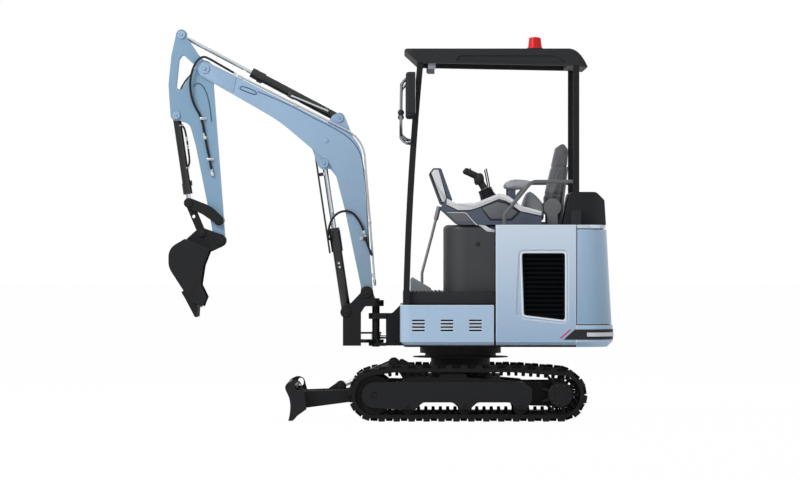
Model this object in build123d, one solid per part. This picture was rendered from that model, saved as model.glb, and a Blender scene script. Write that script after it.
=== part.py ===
from build123d import *
import math
import os

# Pivots of the front linkage as (x, z), forward is -X and the ground is z = 0
BOOM_FOOT = (-617, 834)
BOOM_CYL_BASE = (-752, 705)
BOOM_CYL_ROD = (-898, 1685)
BOOM_TIP = (-1686, 2309)
ARM_CYL_BASE = (-799, 1982)
ARM_CYL_ROD = (-1839, 2532)
BUCKET_CYL_BASE = (-1874, 2002)
ROD_PIN = (-1789, 1424)
ROCKER_PIVOT = (-1591, 1309)
BUCKET_PIVOT = (-1587, 1177)
LINK_PIN = (-1706, 1226)

# Blade pivots as (x, z) and the kingpin of the swing post
BLADE_PIVOT = (-399, 190)
BLADE_CYL_BASE = (-439, 368)
BLADE_CYL_ROD = (-789, 216)
BLADE_PIN = 20
KINGPIN_X = -558
KINGPIN_RADIUS = 25
SWING_LEVER = 130
SWING_CYL_BASE_X = -40
SWING_CYL_Z = 540
BRACKET_HALF = 40
BRACKET_FRONT_X = -492
BRACKET_LUGS = ((482, 502), (660, 698))
LUG_RADIUS = 48
POST_ARMS = ((504, 524), (744, 784))
POST_ARM_RADIUS = 52
POST_FRONT_X = -775
POST_REAR_X = -657
SWING_EYE_HALF = 17
SWING_GAP = 2
SWING_EAR = 12
LEVER_NEAR = SWING_EYE_HALF + SWING_GAP
LEVER_FAR = LEVER_NEAR + SWING_EAR
EAR_NEAR = 31
EAR_FAR = EAR_NEAR + SWING_EAR

# Running clearances
PIN_PLAY = 0.3
ROD_PLAY = 0.5

# Tracks
TRACK_CENTRE_Y = 375
TRACK_WIDTH = 230
TRACK_RADIUS = 172
IDLER_X = -564
SPROCKET_X = 647
TOP_RUN_FRONT_X = -432
TOP_RUN_REAR_X = 360
TOP_RUN_Z = 365
LUG_HEIGHT = 20
BELT_THICKNESS = 24
DRIVE_LUG_HEIGHT = 25
DRIVE_LUG_WIDTH = 50
LINK_COUNT = 68
LUG_TIP = 0.4
LUG_ROOT = 0.5
DRIVE_TIP = 0.2
DRIVE_ROOT = 0.26
FRAME_HALF_WIDTH = 90
FRAME_PLATE = 18
FRAME_FOOT_Z = 78
FRAME_ARCH_Z = 124
FRAME_TOP_Z = 256
ROLLER_X = (-346, 23, 386)
ROLLER_RADIUS = 46
ROLLER_AXLE = 14
IDLER_AXLE = 22
WHEEL_PLAY = 3.5
SPROCKET_TEETH = 9
TOOTH_DEPTH = 42
TOOTH_RING = 20
TOOTH_ROOT_SHARE = 0.18
TOOTH_TIP_SHARE = 0.07
BELT_TOP = LUG_HEIGHT + BELT_THICKNESS
PITCH_RADIUS = TRACK_RADIUS - LUG_HEIGHT - BELT_THICKNESS / 2

# Tow eye at the rear of the car body
TOW_EYE_X = 395
TOW_EYE_Z = 188
TOW_EYE_RADIUS = 20
TOW_PLATE = 32

# Slew ring
RING_TOP_Z = 436
RING_RADIUS = 234
RACE_RADIUS = 267
NECK_RADIUS = 195
NECK_BOTTOM_Z = 300

# House
HOUSE_BOTTOM_Z = 484
HOUSE_HALF_WIDTH = 490
WALL = 24
BASE_PLATE = 20
FRONT_RADIUS = 70
LOWER_CHAMFER = 36
HOUSE_FRONT_X = -399
SKIRT_REAR_X = 211
SKIRT_TOP_Z = 758
DECK_BOTTOM_Z = 764
DECK_TOP_Z = 843
COVER_FRONT_X = 224
COVER_REAR_X = 746
COVER_TOP_Z = 1279
HOOD_FRONT_X = 752
TAIL_X = 990
TAIL_RADIUS = 190
WEIGHT_TOP_Z = 626
SEAM = 6
LOUVRE_GROUPS = (-279, -94, 91)
LOUVRE_ROWS = 4
STRIP_LOW_Z = 533
STRIP_HIGH_Z = 599
STRIP_INNER_Y = 250
STRIP_PROUD = 3
LAMP_PROUD = 3
SEAT_PAN_Z = 1299
SEAT_HALF = 215
ROOF_TOP_Z = 2424
ROOF_INSET = 10
ROOF_HALF_WIDTH = HOUSE_HALF_WIDTH - ROOF_INSET
POST_INSET = 18
POST_WIDTH = 40
POST_OUTER_Y = HOUSE_HALF_WIDTH - POST_INSET
POST_INNER_Y = POST_OUTER_Y - POST_WIDTH
POST_Y = POST_OUTER_Y - POST_WIDTH / 2

# Widths of the front linkage, each a half width measured from the middle
BOOM_HALF = 70
BOOM_PLATE = 10
ARM_HALF = 52
ARM_PLATE = 9
POST_PLATE_INNER = 74
POST_PLATE_OUTER = 98
EAR_INNER = 32
EAR_OUTER = 50
EYE_HALF = 28
ROCKER_INNER = 74
ROCKER_OUTER = 88
LINK_INNER = 34
LINK_OUTER = 50
BUCKET_EAR_INNER = 54
BUCKET_EAR_OUTER = 72
BUCKET_HALF = 210
BUCKET_SHEET = 10
BOOM_TIP_PIN = 25
BUCKET_PIN = 22
ROCKER_PIN = 20
LINK_BOLT = 18
GUARD_GAP = 47

# Cylinders: barrel radius, rod radius, eye radius, pin radius, barrel length, rod length
BOOM_CYL = (31, 17, 38, 20, 560, 640)
ARM_CYL = (30, 16, 35, 18, 655, 690)
BUCKET_CYL = (27, 15, 33, 18, 525, 500)
BLADE_CYL = (29, 16, 33, 18, 235, 240)
SWING_CYL = (26, 15, 31, 17, 330, 350)

# Hoses: routes as (x, y, z), the arm's clips as (x, z)
HOSE_RADIUS = 11
HOSE_BEND = 30
ARM_HOSE = [
    (-1484, -64, 2276),
    (-1640, -84, 2366),
    (-1694, -88, 2390),
    (-1752, -86, 2340),
    (-1784, -80, 2220),
    (-1764, -70, 2090),
    (-1702, -65, 1985),
    (-1680, -65, 1850),
    (-1634, -65, 1609),
]
ARM_CLIPS = [(-1700, 1980), (-1651, 1700)]
BOOM_HOSE = [
    (-854.2, -30.3, 1185.1),
    (-873.8, -50.1, 1182.2),
    (-876, -80, 1250),
    (-840, -88, 1346),
    (-770, -88, 1376),
    (-700, -86, 1330),
    (-640, -83, 1210),
    (-588, -82, 1064),
]


def outline(points, radius=0):
    return make_face(FilletPolyline(*points, radius=radius, close=True).edges())


def side(face, y0, y1):
    return extrude(Plane.XZ.offset(-y1) * face, amount=y1 - y0)


def plan(face, z0, z1):
    return extrude(Plane.XY.offset(z0) * face, amount=z1 - z0)


def disc(point, radius):
    return Pos(point[0], point[1]) * Circle(radius)


def pair(face, inner, outer):
    return side(face, inner, outer) + side(face, -outer, -inner)


def across(point, radius, half):
    return side(disc(point, radius), -half, half)


def block(x0, x1, y0, y1, z0, z1):
    centre = Pos((x0 + x1) / 2, (y0 + y1) / 2, (z0 + z1) / 2)
    return centre * Box(x1 - x0, y1 - y0, z1 - z0)


def upright(x, y, radius, z0, z1):
    return plan(Pos(x, y) * Circle(radius), z0, z1)


def other_side(shape):
    return mirror(shape, about=Plane.XZ)


def tube(points, radius, bend):
    path = FilletPolyline(*points, radius=bend)
    section = Plane(origin=path @ 0, z_dir=path % 0) * Circle(radius)
    return sweep(section, path=path)


def save(name, *shapes):
    solids = [solid for shape in shapes for solid in shape.solids()]
    export_step(Compound(children=solids), f"parts/{name}.step")


# Cylinders lie along their own x axis and are then set between two pins
def lengthwise(radius, x0, x1):
    return Pos((x0 + x1) / 2, 0, 0) * Rot(0, 90, 0) * Cylinder(radius, x1 - x0)


def between(start, end):
    return Plane(
        origin=(start[0], 0, start[1]),
        x_dir=(end[0] - start[0], 0, end[1] - start[1]),
        z_dir=(0, -1, 0),
    )


def barrel(sizes, eye_half=EYE_HALF, port_turn=0):
    outer, rod, eye, pin, length, _ = sizes
    body = lengthwise(outer, eye * 0.7, length)
    body += lengthwise(outer + 4, length - 40, length)
    body += Cylinder(eye, 2 * eye_half)
    body -= Cylinder(pin + PIN_PLAY, 3 * eye_half)
    body -= lengthwise(rod + ROD_PLAY, eye + 14, length + 1)
    port = Rot(port_turn, 0, 0) * Pos(length - 70, outer + 2, 0) * Box(34, 18, 24)
    return body + (port - lengthwise(outer - 2, 0, length))


def piston_rod(sizes, reach, eye_half=EYE_HALF):
    _, rod, eye, pin, _, length = sizes
    body = lengthwise(rod, reach - length, reach - eye * 0.7)
    body += Pos(reach, 0, 0) * Cylinder(eye, 2 * eye_half)
    return body - Pos(reach, 0, 0) * Cylinder(pin + PIN_PLAY, 3 * eye_half)


# Pitch line of the track, in the middle of its belt, from the front of the ground run
def track_path():
    inset = TRACK_RADIUS - PITCH_RADIUS
    low = TRACK_RADIUS
    rise = TOP_RUN_Z - 2 * TRACK_RADIUS
    lean_rear = math.atan2(rise, SPROCKET_X - TOP_RUN_REAR_X)
    lean_front = math.atan2(rise, TOP_RUN_FRONT_X - IDLER_X)
    rear_up = (
        SPROCKET_X + PITCH_RADIUS * math.sin(lean_rear),
        low + PITCH_RADIUS * math.cos(lean_rear),
    )
    front_up = (
        IDLER_X - PITCH_RADIUS * math.sin(lean_front),
        low + PITCH_RADIUS * math.cos(lean_front),
    )
    top_z = TOP_RUN_Z - inset
    ground = Line((IDLER_X, inset), (SPROCKET_X, inset))
    rear = ThreePointArc((SPROCKET_X, inset), (SPROCKET_X + PITCH_RADIUS, low), rear_up)
    climb = Line(rear_up, (TOP_RUN_REAR_X, top_z))
    top = Line((TOP_RUN_REAR_X, top_z), (TOP_RUN_FRONT_X, top_z))
    fall = Line((TOP_RUN_FRONT_X, top_z), front_up)
    front = ThreePointArc(front_up, (IDLER_X - PITCH_RADIUS, low), (IDLER_X, inset))
    return Wire([ground, rear, climb, top, fall, front])


# A closed outline beside the pitch line, from marked places of a link and their lifts
def toothed(marks, links=1):
    path = track_path()
    rearmost = (SPROCKET_X - IDLER_X + PITCH_RADIUS * math.pi / 2) / path.length
    points = []
    for link in range(0, LINK_COUNT, links):
        for place, lift in marks:
            share = (rearmost + (link + place) / LINK_COUNT) % 1
            spot = path.position_at(share)
            heading = path.tangent_at(share)
            points.append((spot.X + lift * heading.Y, spot.Y - lift * heading.X))
    return make_face(Polyline(*points, close=True).edges())


# One lug in the middle of a link, as marks for the outline
def lug(root, tip, low, high, link=0):
    middle = link + 0.5
    return [(middle - root, low), (middle - tip, high), (middle + tip, high), (middle + root, low)]


# The outer lugs stand in two rows, one link apart, and the drive lugs on every link
def track():
    belt = BELT_THICKNESS / 2
    half = TRACK_WIDTH / 2
    drive = DRIVE_LUG_WIDTH / 2
    inside = toothed([(0, -belt)])
    rows = Part()
    for row, edges in enumerate(((-half, 0), (0, half))):
        tread = toothed(lug(LUG_ROOT, LUG_TIP, belt, belt + LUG_HEIGHT, row), 2)
        rows += side(tread - inside, *wheel_y(*edges))
    teeth = lug(DRIVE_ROOT, DRIVE_TIP, -belt, -belt - DRIVE_LUG_HEIGHT)
    hollow = toothed([(0, -belt)] + teeth)
    return rows + side(inside - hollow, *wheel_y(-drive, drive))


def wheel_y(inner, outer):
    return TRACK_CENTRE_Y + inner, TRACK_CENTRE_Y + outer


def twin_wheel(x, z, radius, inner, outer, hub):
    wheel = side(disc((x, z), radius), *wheel_y(inner, outer))
    wheel += side(disc((x, z), radius), *wheel_y(-outer, -inner))
    return wheel + side(disc((x, z), hub), *wheel_y(-FRAME_HALF_WIDTH + 6, FRAME_HALF_WIDTH - 6))


WHEEL_RADIUS = TRACK_RADIUS - LUG_HEIGHT - BELT_THICKNESS - WHEEL_PLAY
TOOTH_ROOT = WHEEL_RADIUS - TOOTH_DEPTH
HUB_RADIUS = TOOTH_ROOT - TOOTH_RING
MOTOR_RADIUS = HUB_RADIUS - 6


# The teeth stand in every second gap between the drive lugs
def sprocket():
    centre = (SPROCKET_X, TRACK_RADIUS)
    points = []
    for tooth in range(SPROCKET_TEETH):
        for share, radius in (
            (-TOOTH_ROOT_SHARE, TOOTH_ROOT),
            (-TOOTH_TIP_SHARE, WHEEL_RADIUS),
            (TOOTH_TIP_SHARE, WHEEL_RADIUS),
            (TOOTH_ROOT_SHARE, TOOTH_ROOT),
        ):
            turn = 2 * math.pi * (tooth + share) / SPROCKET_TEETH
            points.append((centre[0] + radius * math.cos(turn), centre[1] + radius * math.sin(turn)))
    teeth = make_face(Polyline(*points, close=True).edges()) - disc(centre, HUB_RADIUS)
    return [side(teeth, *wheel_y(30, 46)), side(teeth, *wheel_y(-46, -30))]


def final_drive():
    centre = (SPROCKET_X, TRACK_RADIUS)
    hub = side(disc(centre, HUB_RADIUS), *wheel_y(-72, 58))
    hub += side(disc(centre, HUB_RADIUS + 22), *wheel_y(50, 78))
    hub = fillet(hub.edges().filter_by(GeomType.CIRCLE).group_by(Axis.Y)[-1], 12)
    motor = side(disc(centre, MOTOR_RADIUS), *wheel_y(-200, -72))
    return hub + motor


def track_frame():
    nose = (IDLER_X, TRACK_RADIUS)
    drive = (SPROCKET_X, TRACK_RADIUS)
    inner = FRAME_HALF_WIDTH - FRAME_PLATE
    shape = outline(
        [
            (IDLER_X - 20, 90),
            (-420, FRAME_FOOT_Z),
            (-300, FRAME_FOOT_Z),
            (-250, FRAME_ARCH_Z),
            (-55, FRAME_ARCH_Z),
            (-5, FRAME_FOOT_Z),
            (54, FRAME_FOOT_Z),
            (104, FRAME_ARCH_Z),
            (316, FRAME_ARCH_Z),
            (366, FRAME_FOOT_Z),
            (420, FRAME_FOOT_Z),
            (459, 130),
            (459, FRAME_TOP_Z - 40),
            (400, FRAME_TOP_Z),
            (IDLER_X - 10, FRAME_TOP_Z),
        ],
        [0, 0, 12, 40, 40, 12, 12, 40, 40, 12, 20, 20, 30, 30, 0],
    )
    shape += disc(nose, 84)
    beam = side(shape, *wheel_y(-FRAME_HALF_WIDTH, FRAME_HALF_WIDTH))
    channel = block(-800, 500, *wheel_y(-inner, inner), 0, FRAME_TOP_Z - 20)
    front_gap = block(-800, -425, *wheel_y(-inner, inner), 0, 400)
    beam -= channel + front_gap
    ridge = outline(
        [(-385, FRAME_TOP_Z), (-360, 286), (40, 286), (395, FRAME_TOP_Z)], [0, 12, 40, 0]
    )
    beam += side(ridge, *wheel_y(-60, 60))
    slider = outline([(-158, FRAME_TOP_Z), (-140, 311), (30, 311), (48, FRAME_TOP_Z)], [0, 14, 14, 0])
    beam += side(slider, *wheel_y(32, 60)) + side(slider, *wheel_y(-60, -32))
    neck = TOOTH_ROOT - 4
    bracket = outline(
        [(400, 100), (SPROCKET_X, TRACK_RADIUS - neck), (SPROCKET_X, TRACK_RADIUS + neck), (400, 250)]
    )
    bracket += disc(drive, neck)
    bracket -= disc(drive, MOTOR_RADIUS + PIN_PLAY)
    beam += side(bracket, *wheel_y(-FRAME_HALF_WIDTH, -inner))
    for x in ROLLER_X:
        axle = disc((x, BELT_TOP + ROLLER_RADIUS), ROLLER_AXLE + PIN_PLAY)
        beam -= side(axle, *wheel_y(-100, 100))
    return beam - side(disc(nose, IDLER_AXLE + PIN_PLAY), *wheel_y(-100, 100))


def idler():
    return twin_wheel(IDLER_X, TRACK_RADIUS, WHEEL_RADIUS, 29, 58, IDLER_AXLE)


def rollers():
    z = BELT_TOP + ROLLER_RADIUS
    return [twin_wheel(x, z, ROLLER_RADIUS - PIN_PLAY, 30, 62, ROLLER_AXLE) for x in ROLLER_X]


def car_body():
    legs = outline(
        [
            (-180, -200),
            (-430, -285),
            (-280, -285),
            (0, -225),
            (280, -285),
            (430, -285),
            (180, -200),
        ],
        [60, 0, 0, 200, 0, 0, 60],
    )
    legs += mirror(legs, about=Plane.XZ)
    legs += Rectangle(400, 420)
    body = plan(legs, 130, 246)
    body += upright(0, 0, 262, 246, NECK_BOTTOM_Z)
    push_ears = outline([(-240, 140), (-240, 246), (-390, 236), (-390, 144)])
    push_ears += disc(BLADE_PIVOT, 46)
    body += pair(push_ears, 138, 160)
    body += pair(push_ears, 200, 222)
    body += across(BLADE_PIVOT, BLADE_PIN, 226)
    ear = outline([(-204, 140), (-204, 296), (-400, 405), (-420, 330), (-300, 140)], [0, 0, 20, 0, 0])
    ear += disc(BLADE_CYL_BASE, 37)
    body += pair(ear, EAR_INNER, EAR_OUTER)
    body += across(BLADE_CYL_BASE, BLADE_CYL[3], EAR_OUTER + 6)
    end = TOW_EYE_X + TOW_EYE_RADIUS + 20
    tow = outline([(150, -45), (end, -45), (end, 45), (150, 45)], [0, 38, 38, 0])
    tow -= disc((TOW_EYE_X, 0), TOW_EYE_RADIUS)
    return body + plan(tow, TOW_EYE_Z - TOW_PLATE / 2, TOW_EYE_Z + TOW_PLATE / 2)


def slew_ring():
    ring = upright(0, 0, NECK_RADIUS, NECK_BOTTOM_Z, 408)
    ring += upright(0, 0, 313, 408, 414)
    return ring + upright(0, 0, RING_RADIUS, 408, RING_TOP_Z)


def slew_race():
    return upright(0, 0, RACE_RADIUS, RING_TOP_Z + PIN_PLAY, HOUSE_BOTTOM_Z)


# Blade
BLADE_FACE = [(-1132, 249), (-1145, 223), (-1126, 172), (-1112, 110), (-1114, 60), (-1125, 5)]


def blade_plate():
    front = Spline(*BLADE_FACE)
    back = Spline(*[(x + 16, z) for x, z in BLADE_FACE])
    sheet = make_face([front, Line(front @ 1, back @ 1), back, Line(back @ 0, front @ 0)])
    plate = side(sheet, -HOUSE_HALF_WIDTH + 16, HOUSE_HALF_WIDTH - 16)
    end = make_face(
        [
            front,
            Line(front @ 1, (-1112, 5)),
            Line((-1112, 5), (-1006, 81)),
            Line((-1006, 81), (-1020, 177)),
            Line((-1020, 177), (-1040, 249)),
            ThreePointArc((-1040, 249), (-1066, 266), (-1106, 262)),
            Line((-1106, 262), front @ 0),
        ]
    )
    eye = Pos(-1063, 230) * Rot(0, 0, 90) * SlotOverall(52, 36)
    plate += pair(end - eye, HOUSE_HALF_WIDTH - 16, HOUSE_HALF_WIDTH)
    heel = outline([(-1110, 5), (-1096, 5), (-1072, 30), (-1108, 60)])
    plate += side(heel, -HOUSE_HALF_WIDTH + 16, HOUSE_HALF_WIDTH - 16)
    rail = outline([(-1118, 214), (-1070, 214), (-1070, 236), (-1128, 236)])
    return plate + side(rail, -HOUSE_HALF_WIDTH + 16, HOUSE_HALF_WIDTH - 16)


def blade_arms(plate):
    shape = outline(
        [
            (-1103, 70),
            (-1006, 81),
            (-736, 117),
            (-420, 152),
            (-420, 228),
            (-736, 200),
            (-1020, 190),
            (-1126, 196),
        ],
        [0, 0, 200, 0, 0, 200, 0, 0],
    )
    shape += disc(BLADE_PIVOT, 40)
    arms = pair(shape, 165, 195)
    arms -= across(BLADE_PIVOT, BLADE_PIN + PIN_PLAY, 300)
    arms += across((-890, 146), 34, 180)
    ear = outline([(-915, 130), (-890, 112), (-770, 190), (-800, 250), (-900, 180)])
    ear += disc(BLADE_CYL_ROD, 36)
    arms += pair(ear, EAR_INNER, EAR_OUTER)
    arms += pair(disc(BLADE_CYL_ROD, BLADE_CYL[3]), EAR_OUTER, EAR_OUTER + 8)
    return arms - plate


# House
def tail_face(rear_x, front_x, half):
    return outline(
        [(front_x, -half), (rear_x, -half), (rear_x, half), (front_x, half)],
        [0, TAIL_RADIUS, TAIL_RADIUS, 0],
    )


# The house's outer envelope, with the chamfer along its lower edge
def lower_body():
    half = HOUSE_HALF_WIDTH
    face = outline(
        [(HOUSE_FRONT_X, -half), (TAIL_X, -half), (TAIL_X, half), (HOUSE_FRONT_X, half)],
        [FRONT_RADIUS, 0, 0, FRONT_RADIUS],
    )
    body = plan(face, HOUSE_BOTTOM_Z, COVER_TOP_Z)
    return chamfer(body.faces().sort_by(Axis.Z)[0].outer_wire().edges(), LOWER_CHAMFER)


# The front bracket that carries the kingpin, and the ears of the swing cylinder
def front_bracket():
    web = outline(
        [
            (BRACKET_FRONT_X, HOUSE_BOTTOM_Z),
            (-200, HOUSE_BOTTOM_Z),
            (-200, HOUSE_BOTTOM_Z + BASE_PLATE),
            (-385, DECK_BOTTOM_Z),
            (HOUSE_FRONT_X, 750),
            (-450, BRACKET_LUGS[1][1]),
            (BRACKET_FRONT_X, BRACKET_LUGS[1][1]),
        ],
        [0, 0, 0, 0, 0, 24, 0],
    )
    bracket = side(web, -BRACKET_HALF, BRACKET_HALF)
    reach = BRACKET_FRONT_X + 2 - KINGPIN_X
    for low, high in BRACKET_LUGS:
        lug_face = Pos(KINGPIN_X, 0) * Circle(LUG_RADIUS)
        lug_face += Pos(KINGPIN_X + reach / 2, 0) * Rectangle(reach, 2 * LUG_RADIUS)
        bracket += plan(lug_face, low, high)
    bracket += upright(KINGPIN_X, 0, KINGPIN_RADIUS, BRACKET_LUGS[0][0] - 6, POST_ARMS[1][1] + 12)
    x = SWING_CYL_BASE_X
    low = SWING_CYL_Z - EAR_FAR
    top = SWING_CYL_Z + EAR_FAR
    ear = Pos(x, SWING_LEVER) * Circle(36)
    ear += Pos(x + 60, SWING_LEVER) * Rectangle(120, 72)
    bracket += plan(ear, low, low + SWING_EAR) + plan(ear, top - SWING_EAR, top)
    bracket += block(x + 60, x + 120, SWING_LEVER - 36, SWING_LEVER + 36, HOUSE_BOTTOM_Z, top)
    return bracket + upright(x, SWING_LEVER, SWING_CYL[3], low, top + 8)


def house_frame():
    half = HOUSE_HALF_WIDTH - WALL
    front = HOUSE_FRONT_X + WALL
    face = outline(
        [(front, -half), (COVER_REAR_X, -half), (COVER_REAR_X, half), (front, half)],
        [FRONT_RADIUS - WALL, 0, 0, FRONT_RADIUS - WALL],
    )
    base = plan(face, HOUSE_BOTTOM_Z, HOUSE_BOTTOM_Z + BASE_PLATE) & lower_body()
    for y in (-350, 330):
        base += block(front, COVER_FRONT_X, y, y + 20, HOUSE_BOTTOM_Z, DECK_BOTTOM_Z)
    base += block(COVER_FRONT_X - 14, COVER_FRONT_X, -350, 350, HOUSE_BOTTOM_Z, DECK_BOTTOM_Z)
    return base + front_bracket()


def skirts():
    half = HOUSE_HALF_WIDTH
    face = outline(
        [
            (HOUSE_FRONT_X, -half),
            (SKIRT_REAR_X, -half),
            (SKIRT_REAR_X, -half + WALL),
            (HOUSE_FRONT_X + WALL, -half + WALL),
            (HOUSE_FRONT_X + WALL, -260),
            (HOUSE_FRONT_X, -260),
        ],
        [FRONT_RADIUS, 0, 0, FRONT_RADIUS - WALL, 0, 0],
    )
    skirt = plan(face, HOUSE_BOTTOM_Z, SKIRT_TOP_Z) & lower_body()
    for group in LOUVRE_GROUPS:
        for row in range(LOUVRE_ROWS):
            slot = Pos(group, 592 + 22 * row) * SlotOverall(84, 10)
            skirt -= side(slot, -half - 10, -half + WALL + 1)
    return [skirt, other_side(skirt)]


def floor_deck():
    front = HOUSE_FRONT_X + 19
    rear = COVER_FRONT_X - 3
    deck = block(front, rear, -POST_INNER_Y, POST_INNER_Y, DECK_BOTTOM_Z, DECK_TOP_Z)
    deck = fillet(deck.edges().filter_by(Axis.Z).group_by(Axis.X)[0], 40)
    return deck - block(front + 40, rear - 22, -400, 400, DECK_BOTTOM_Z - 1, DECK_TOP_Z - 18)


GRILLE = [(393, 1094), (673, 1094), (673, 659), (406, 692)]
GRILLE_CORNER = 18
GRILLE_PLATE = 6
RECESS = [(350, 700), (372, 1117), (692, 1117), (692, 636), (400, 668)]
RECESS_DEPTH = 8


def side_cover():
    half = HOUSE_HALF_WIDTH
    face = outline(
        [
            (COVER_FRONT_X, HOUSE_BOTTOM_Z),
            (COVER_REAR_X, HOUSE_BOTTOM_Z),
            (COVER_REAR_X, COVER_TOP_Z),
            (COVER_FRONT_X, COVER_TOP_Z),
        ],
        [0, 0, 0, 44],
    )
    cover = side(face - outline(GRILLE, GRILLE_CORNER), -half, -half + WALL) & lower_body()
    cover -= side(outline(RECESS, 2 * GRILLE_CORNER), -half - 1, -half + RECESS_DEPTH)
    inner = -half + WALL
    bulkhead = block(COVER_FRONT_X, COVER_FRONT_X + 10, inner, -340, DECK_TOP_Z, COVER_TOP_Z - WALL)
    return cover + bulkhead


def grille():
    back = -HOUSE_HALF_WIDTH + WALL
    opening = outline(GRILLE, GRILLE_CORNER)
    frame = side(offset(opening, 12), back, back + GRILLE_PLATE)
    frame -= side(offset(opening, -14), back - 1, back + GRILLE_PLATE + 1)
    window = side(opening, back - 1, back + GRILLE_PLATE + 1)
    for row in range(13):
        z = 690 + 30 * row
        frame += block(388, 678, back, back + GRILLE_PLATE, z, z + 12) & window
    return frame


def counterweight():
    weight = plan(tail_face(TAIL_X, COVER_REAR_X, HOUSE_HALF_WIDTH), HOUSE_BOTTOM_Z, WEIGHT_TOP_Z)
    lower = weight.faces().sort_by(Axis.Z)[0].outer_wire().edges().sort_by(Axis.X)[1:]
    return chamfer(lower, LOWER_CHAMFER)


# A band that follows the tail, from one height to another and from one depth to another
def tail_band(inner, outer, low, high):
    ring = tail_face(TAIL_X + outer, COVER_REAR_X, HOUSE_HALF_WIDTH + outer)
    ring -= tail_face(TAIL_X + inner, COVER_REAR_X - 10, HOUSE_HALF_WIDTH + inner)
    return plan(ring, low, high)


def lamp_strips():
    half = HOUSE_HALF_WIDTH
    start = outline(
        [
            (663, STRIP_LOW_Z),
            (COVER_REAR_X, STRIP_LOW_Z),
            (COVER_REAR_X, STRIP_HIGH_Z),
            (736, STRIP_HIGH_Z),
        ]
    )
    band = tail_band(0, STRIP_PROUD, STRIP_LOW_Z, STRIP_HIGH_Z)
    strip = band & block(COVER_REAR_X, TAIL_X + 20, -half - 20, -STRIP_INNER_Y, 400, 700)
    strip += side(start, -half - STRIP_PROUD, -half)
    return [strip, other_side(strip)]


def tail_lamps():
    half = HOUSE_HALF_WIDTH
    band = tail_band(STRIP_PROUD, STRIP_PROUD + LAMP_PROUD, STRIP_LOW_Z + 20, STRIP_HIGH_Z - 20)
    lens = band & block(TAIL_X - 175, TAIL_X + 20, -half - 20, -STRIP_INNER_Y - 20, 400, 700)
    return [lens, other_side(lens)]


def bay_top():
    half = HOUSE_HALF_WIDTH - WALL
    face = tail_face(944, COVER_REAR_X + SEAM, HOUSE_HALF_WIDTH - 4)
    face += Pos((COVER_FRONT_X + 900) / 2, 0) * Rectangle(900 - COVER_FRONT_X, 2 * half)
    return plan(face, COVER_TOP_Z - WALL, COVER_TOP_Z)


def power_block():
    return block(280, 720, -240, 240, HOUSE_BOTTOM_Z + 20, 1010)


def hood_skin(inset):
    low = tail_face(983 - inset, HOOD_FRONT_X - 2 * inset, HOUSE_HALF_WIDTH - inset)
    high = tail_face(950 - inset, HOOD_FRONT_X - 2 * inset, HOUSE_HALF_WIDTH - 4 - inset)
    bottom = WEIGHT_TOP_Z + SEAM
    top = COVER_TOP_Z - WALL - SEAM
    return loft([Plane.XY.offset(bottom) * low, Plane.XY.offset(top) * high])


HINGE_X = HOOD_FRONT_X + 4
HINGE_Y = HOUSE_HALF_WIDTH + 10


def rear_hood():
    hood = hood_skin(0) - hood_skin(14)
    for z in (740, 1130):
        knuckle = upright(HINGE_X, HINGE_Y, 9, z, z + 40)
        leaf = block(HINGE_X, HINGE_X + 60, HOUSE_HALF_WIDTH - 8, HINGE_Y + 3, z, z + 40)
        hood += knuckle + (leaf - hood_skin(4))
    return hood


def hood_hinges():
    hinges = []
    for z in (698, 1088):
        knuckle = upright(HINGE_X, HINGE_Y, 9, z, z + 40)
        leaf = block(COVER_REAR_X - 60, HINGE_X, HOUSE_HALF_WIDTH, HINGE_Y + 3, z, z + 40)
        hinges.append(knuckle + leaf)
    return hinges


def seat_base():
    rear = COVER_FRONT_X - 3
    face = outline([(-112, -330), (rear, -330), (rear, 330), (-112, 330)], [150, 0, 0, 150])
    box = plan(face, DECK_TOP_Z, COVER_TOP_Z)
    box = fillet(box.faces().sort_by(Axis.Z)[-1].outer_wire().edges().sort_by(Axis.X)[:-1], 30)
    return box - block(-60, COVER_FRONT_X, -290, 290, DECK_TOP_Z - 1, COVER_TOP_Z - 20)


# A pan under the cushion, a sheet behind the backrest and a round cover over each hinge
def seat_frame():
    shape = outline(
        [
            (130, COVER_TOP_Z),
            (660, COVER_TOP_Z),
            (705, 1660),
            (690, 1662),
            (644, SEAT_PAN_Z),
            (130, SEAT_PAN_Z),
        ],
        [0, 12, 0, 0, 12, 0],
    )
    pan = side(shape, -170, 170)
    hinge = (600, 1395)
    cover = outline([(566, COVER_TOP_Z), (634, COVER_TOP_Z), (634, hinge[1]), (566, hinge[1])])
    cover += disc(hinge, 58)
    pan += pair(cover, SEAT_HALF + 3, SEAT_HALF + 19)
    foot = block(566, 634, 160, SEAT_HALF + 5, COVER_TOP_Z, SEAT_PAN_Z)
    return pan + foot + other_side(foot)


def seat_cushion():
    bottom = SEAT_PAN_Z + 0.5
    shape = outline(
        [(110, bottom), (560, bottom), (560, 1385), (130, 1405), (96, 1370)], [30, 20, 30, 36, 24]
    )
    return side(shape, -SEAT_HALF, SEAT_HALF)


def seat_back():
    shape = outline(
        [
            (566, 1316),
            (642, 1316),
            (688, 1640),
            (700, 1800),
            (680, 1830),
            (650, 1822),
            (610, 1655),
            (556, 1444),
            (566, 1400),
        ],
        [20, 0, 0, 16, 14, 14, 90, 20, 20],
    )
    rear = outline([(600, 1250), (643.4, SEAT_PAN_Z), (689.4, 1663), (800, 1663), (800, 1250)])
    return side(shape - rear, -SEAT_HALF, SEAT_HALF)


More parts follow.
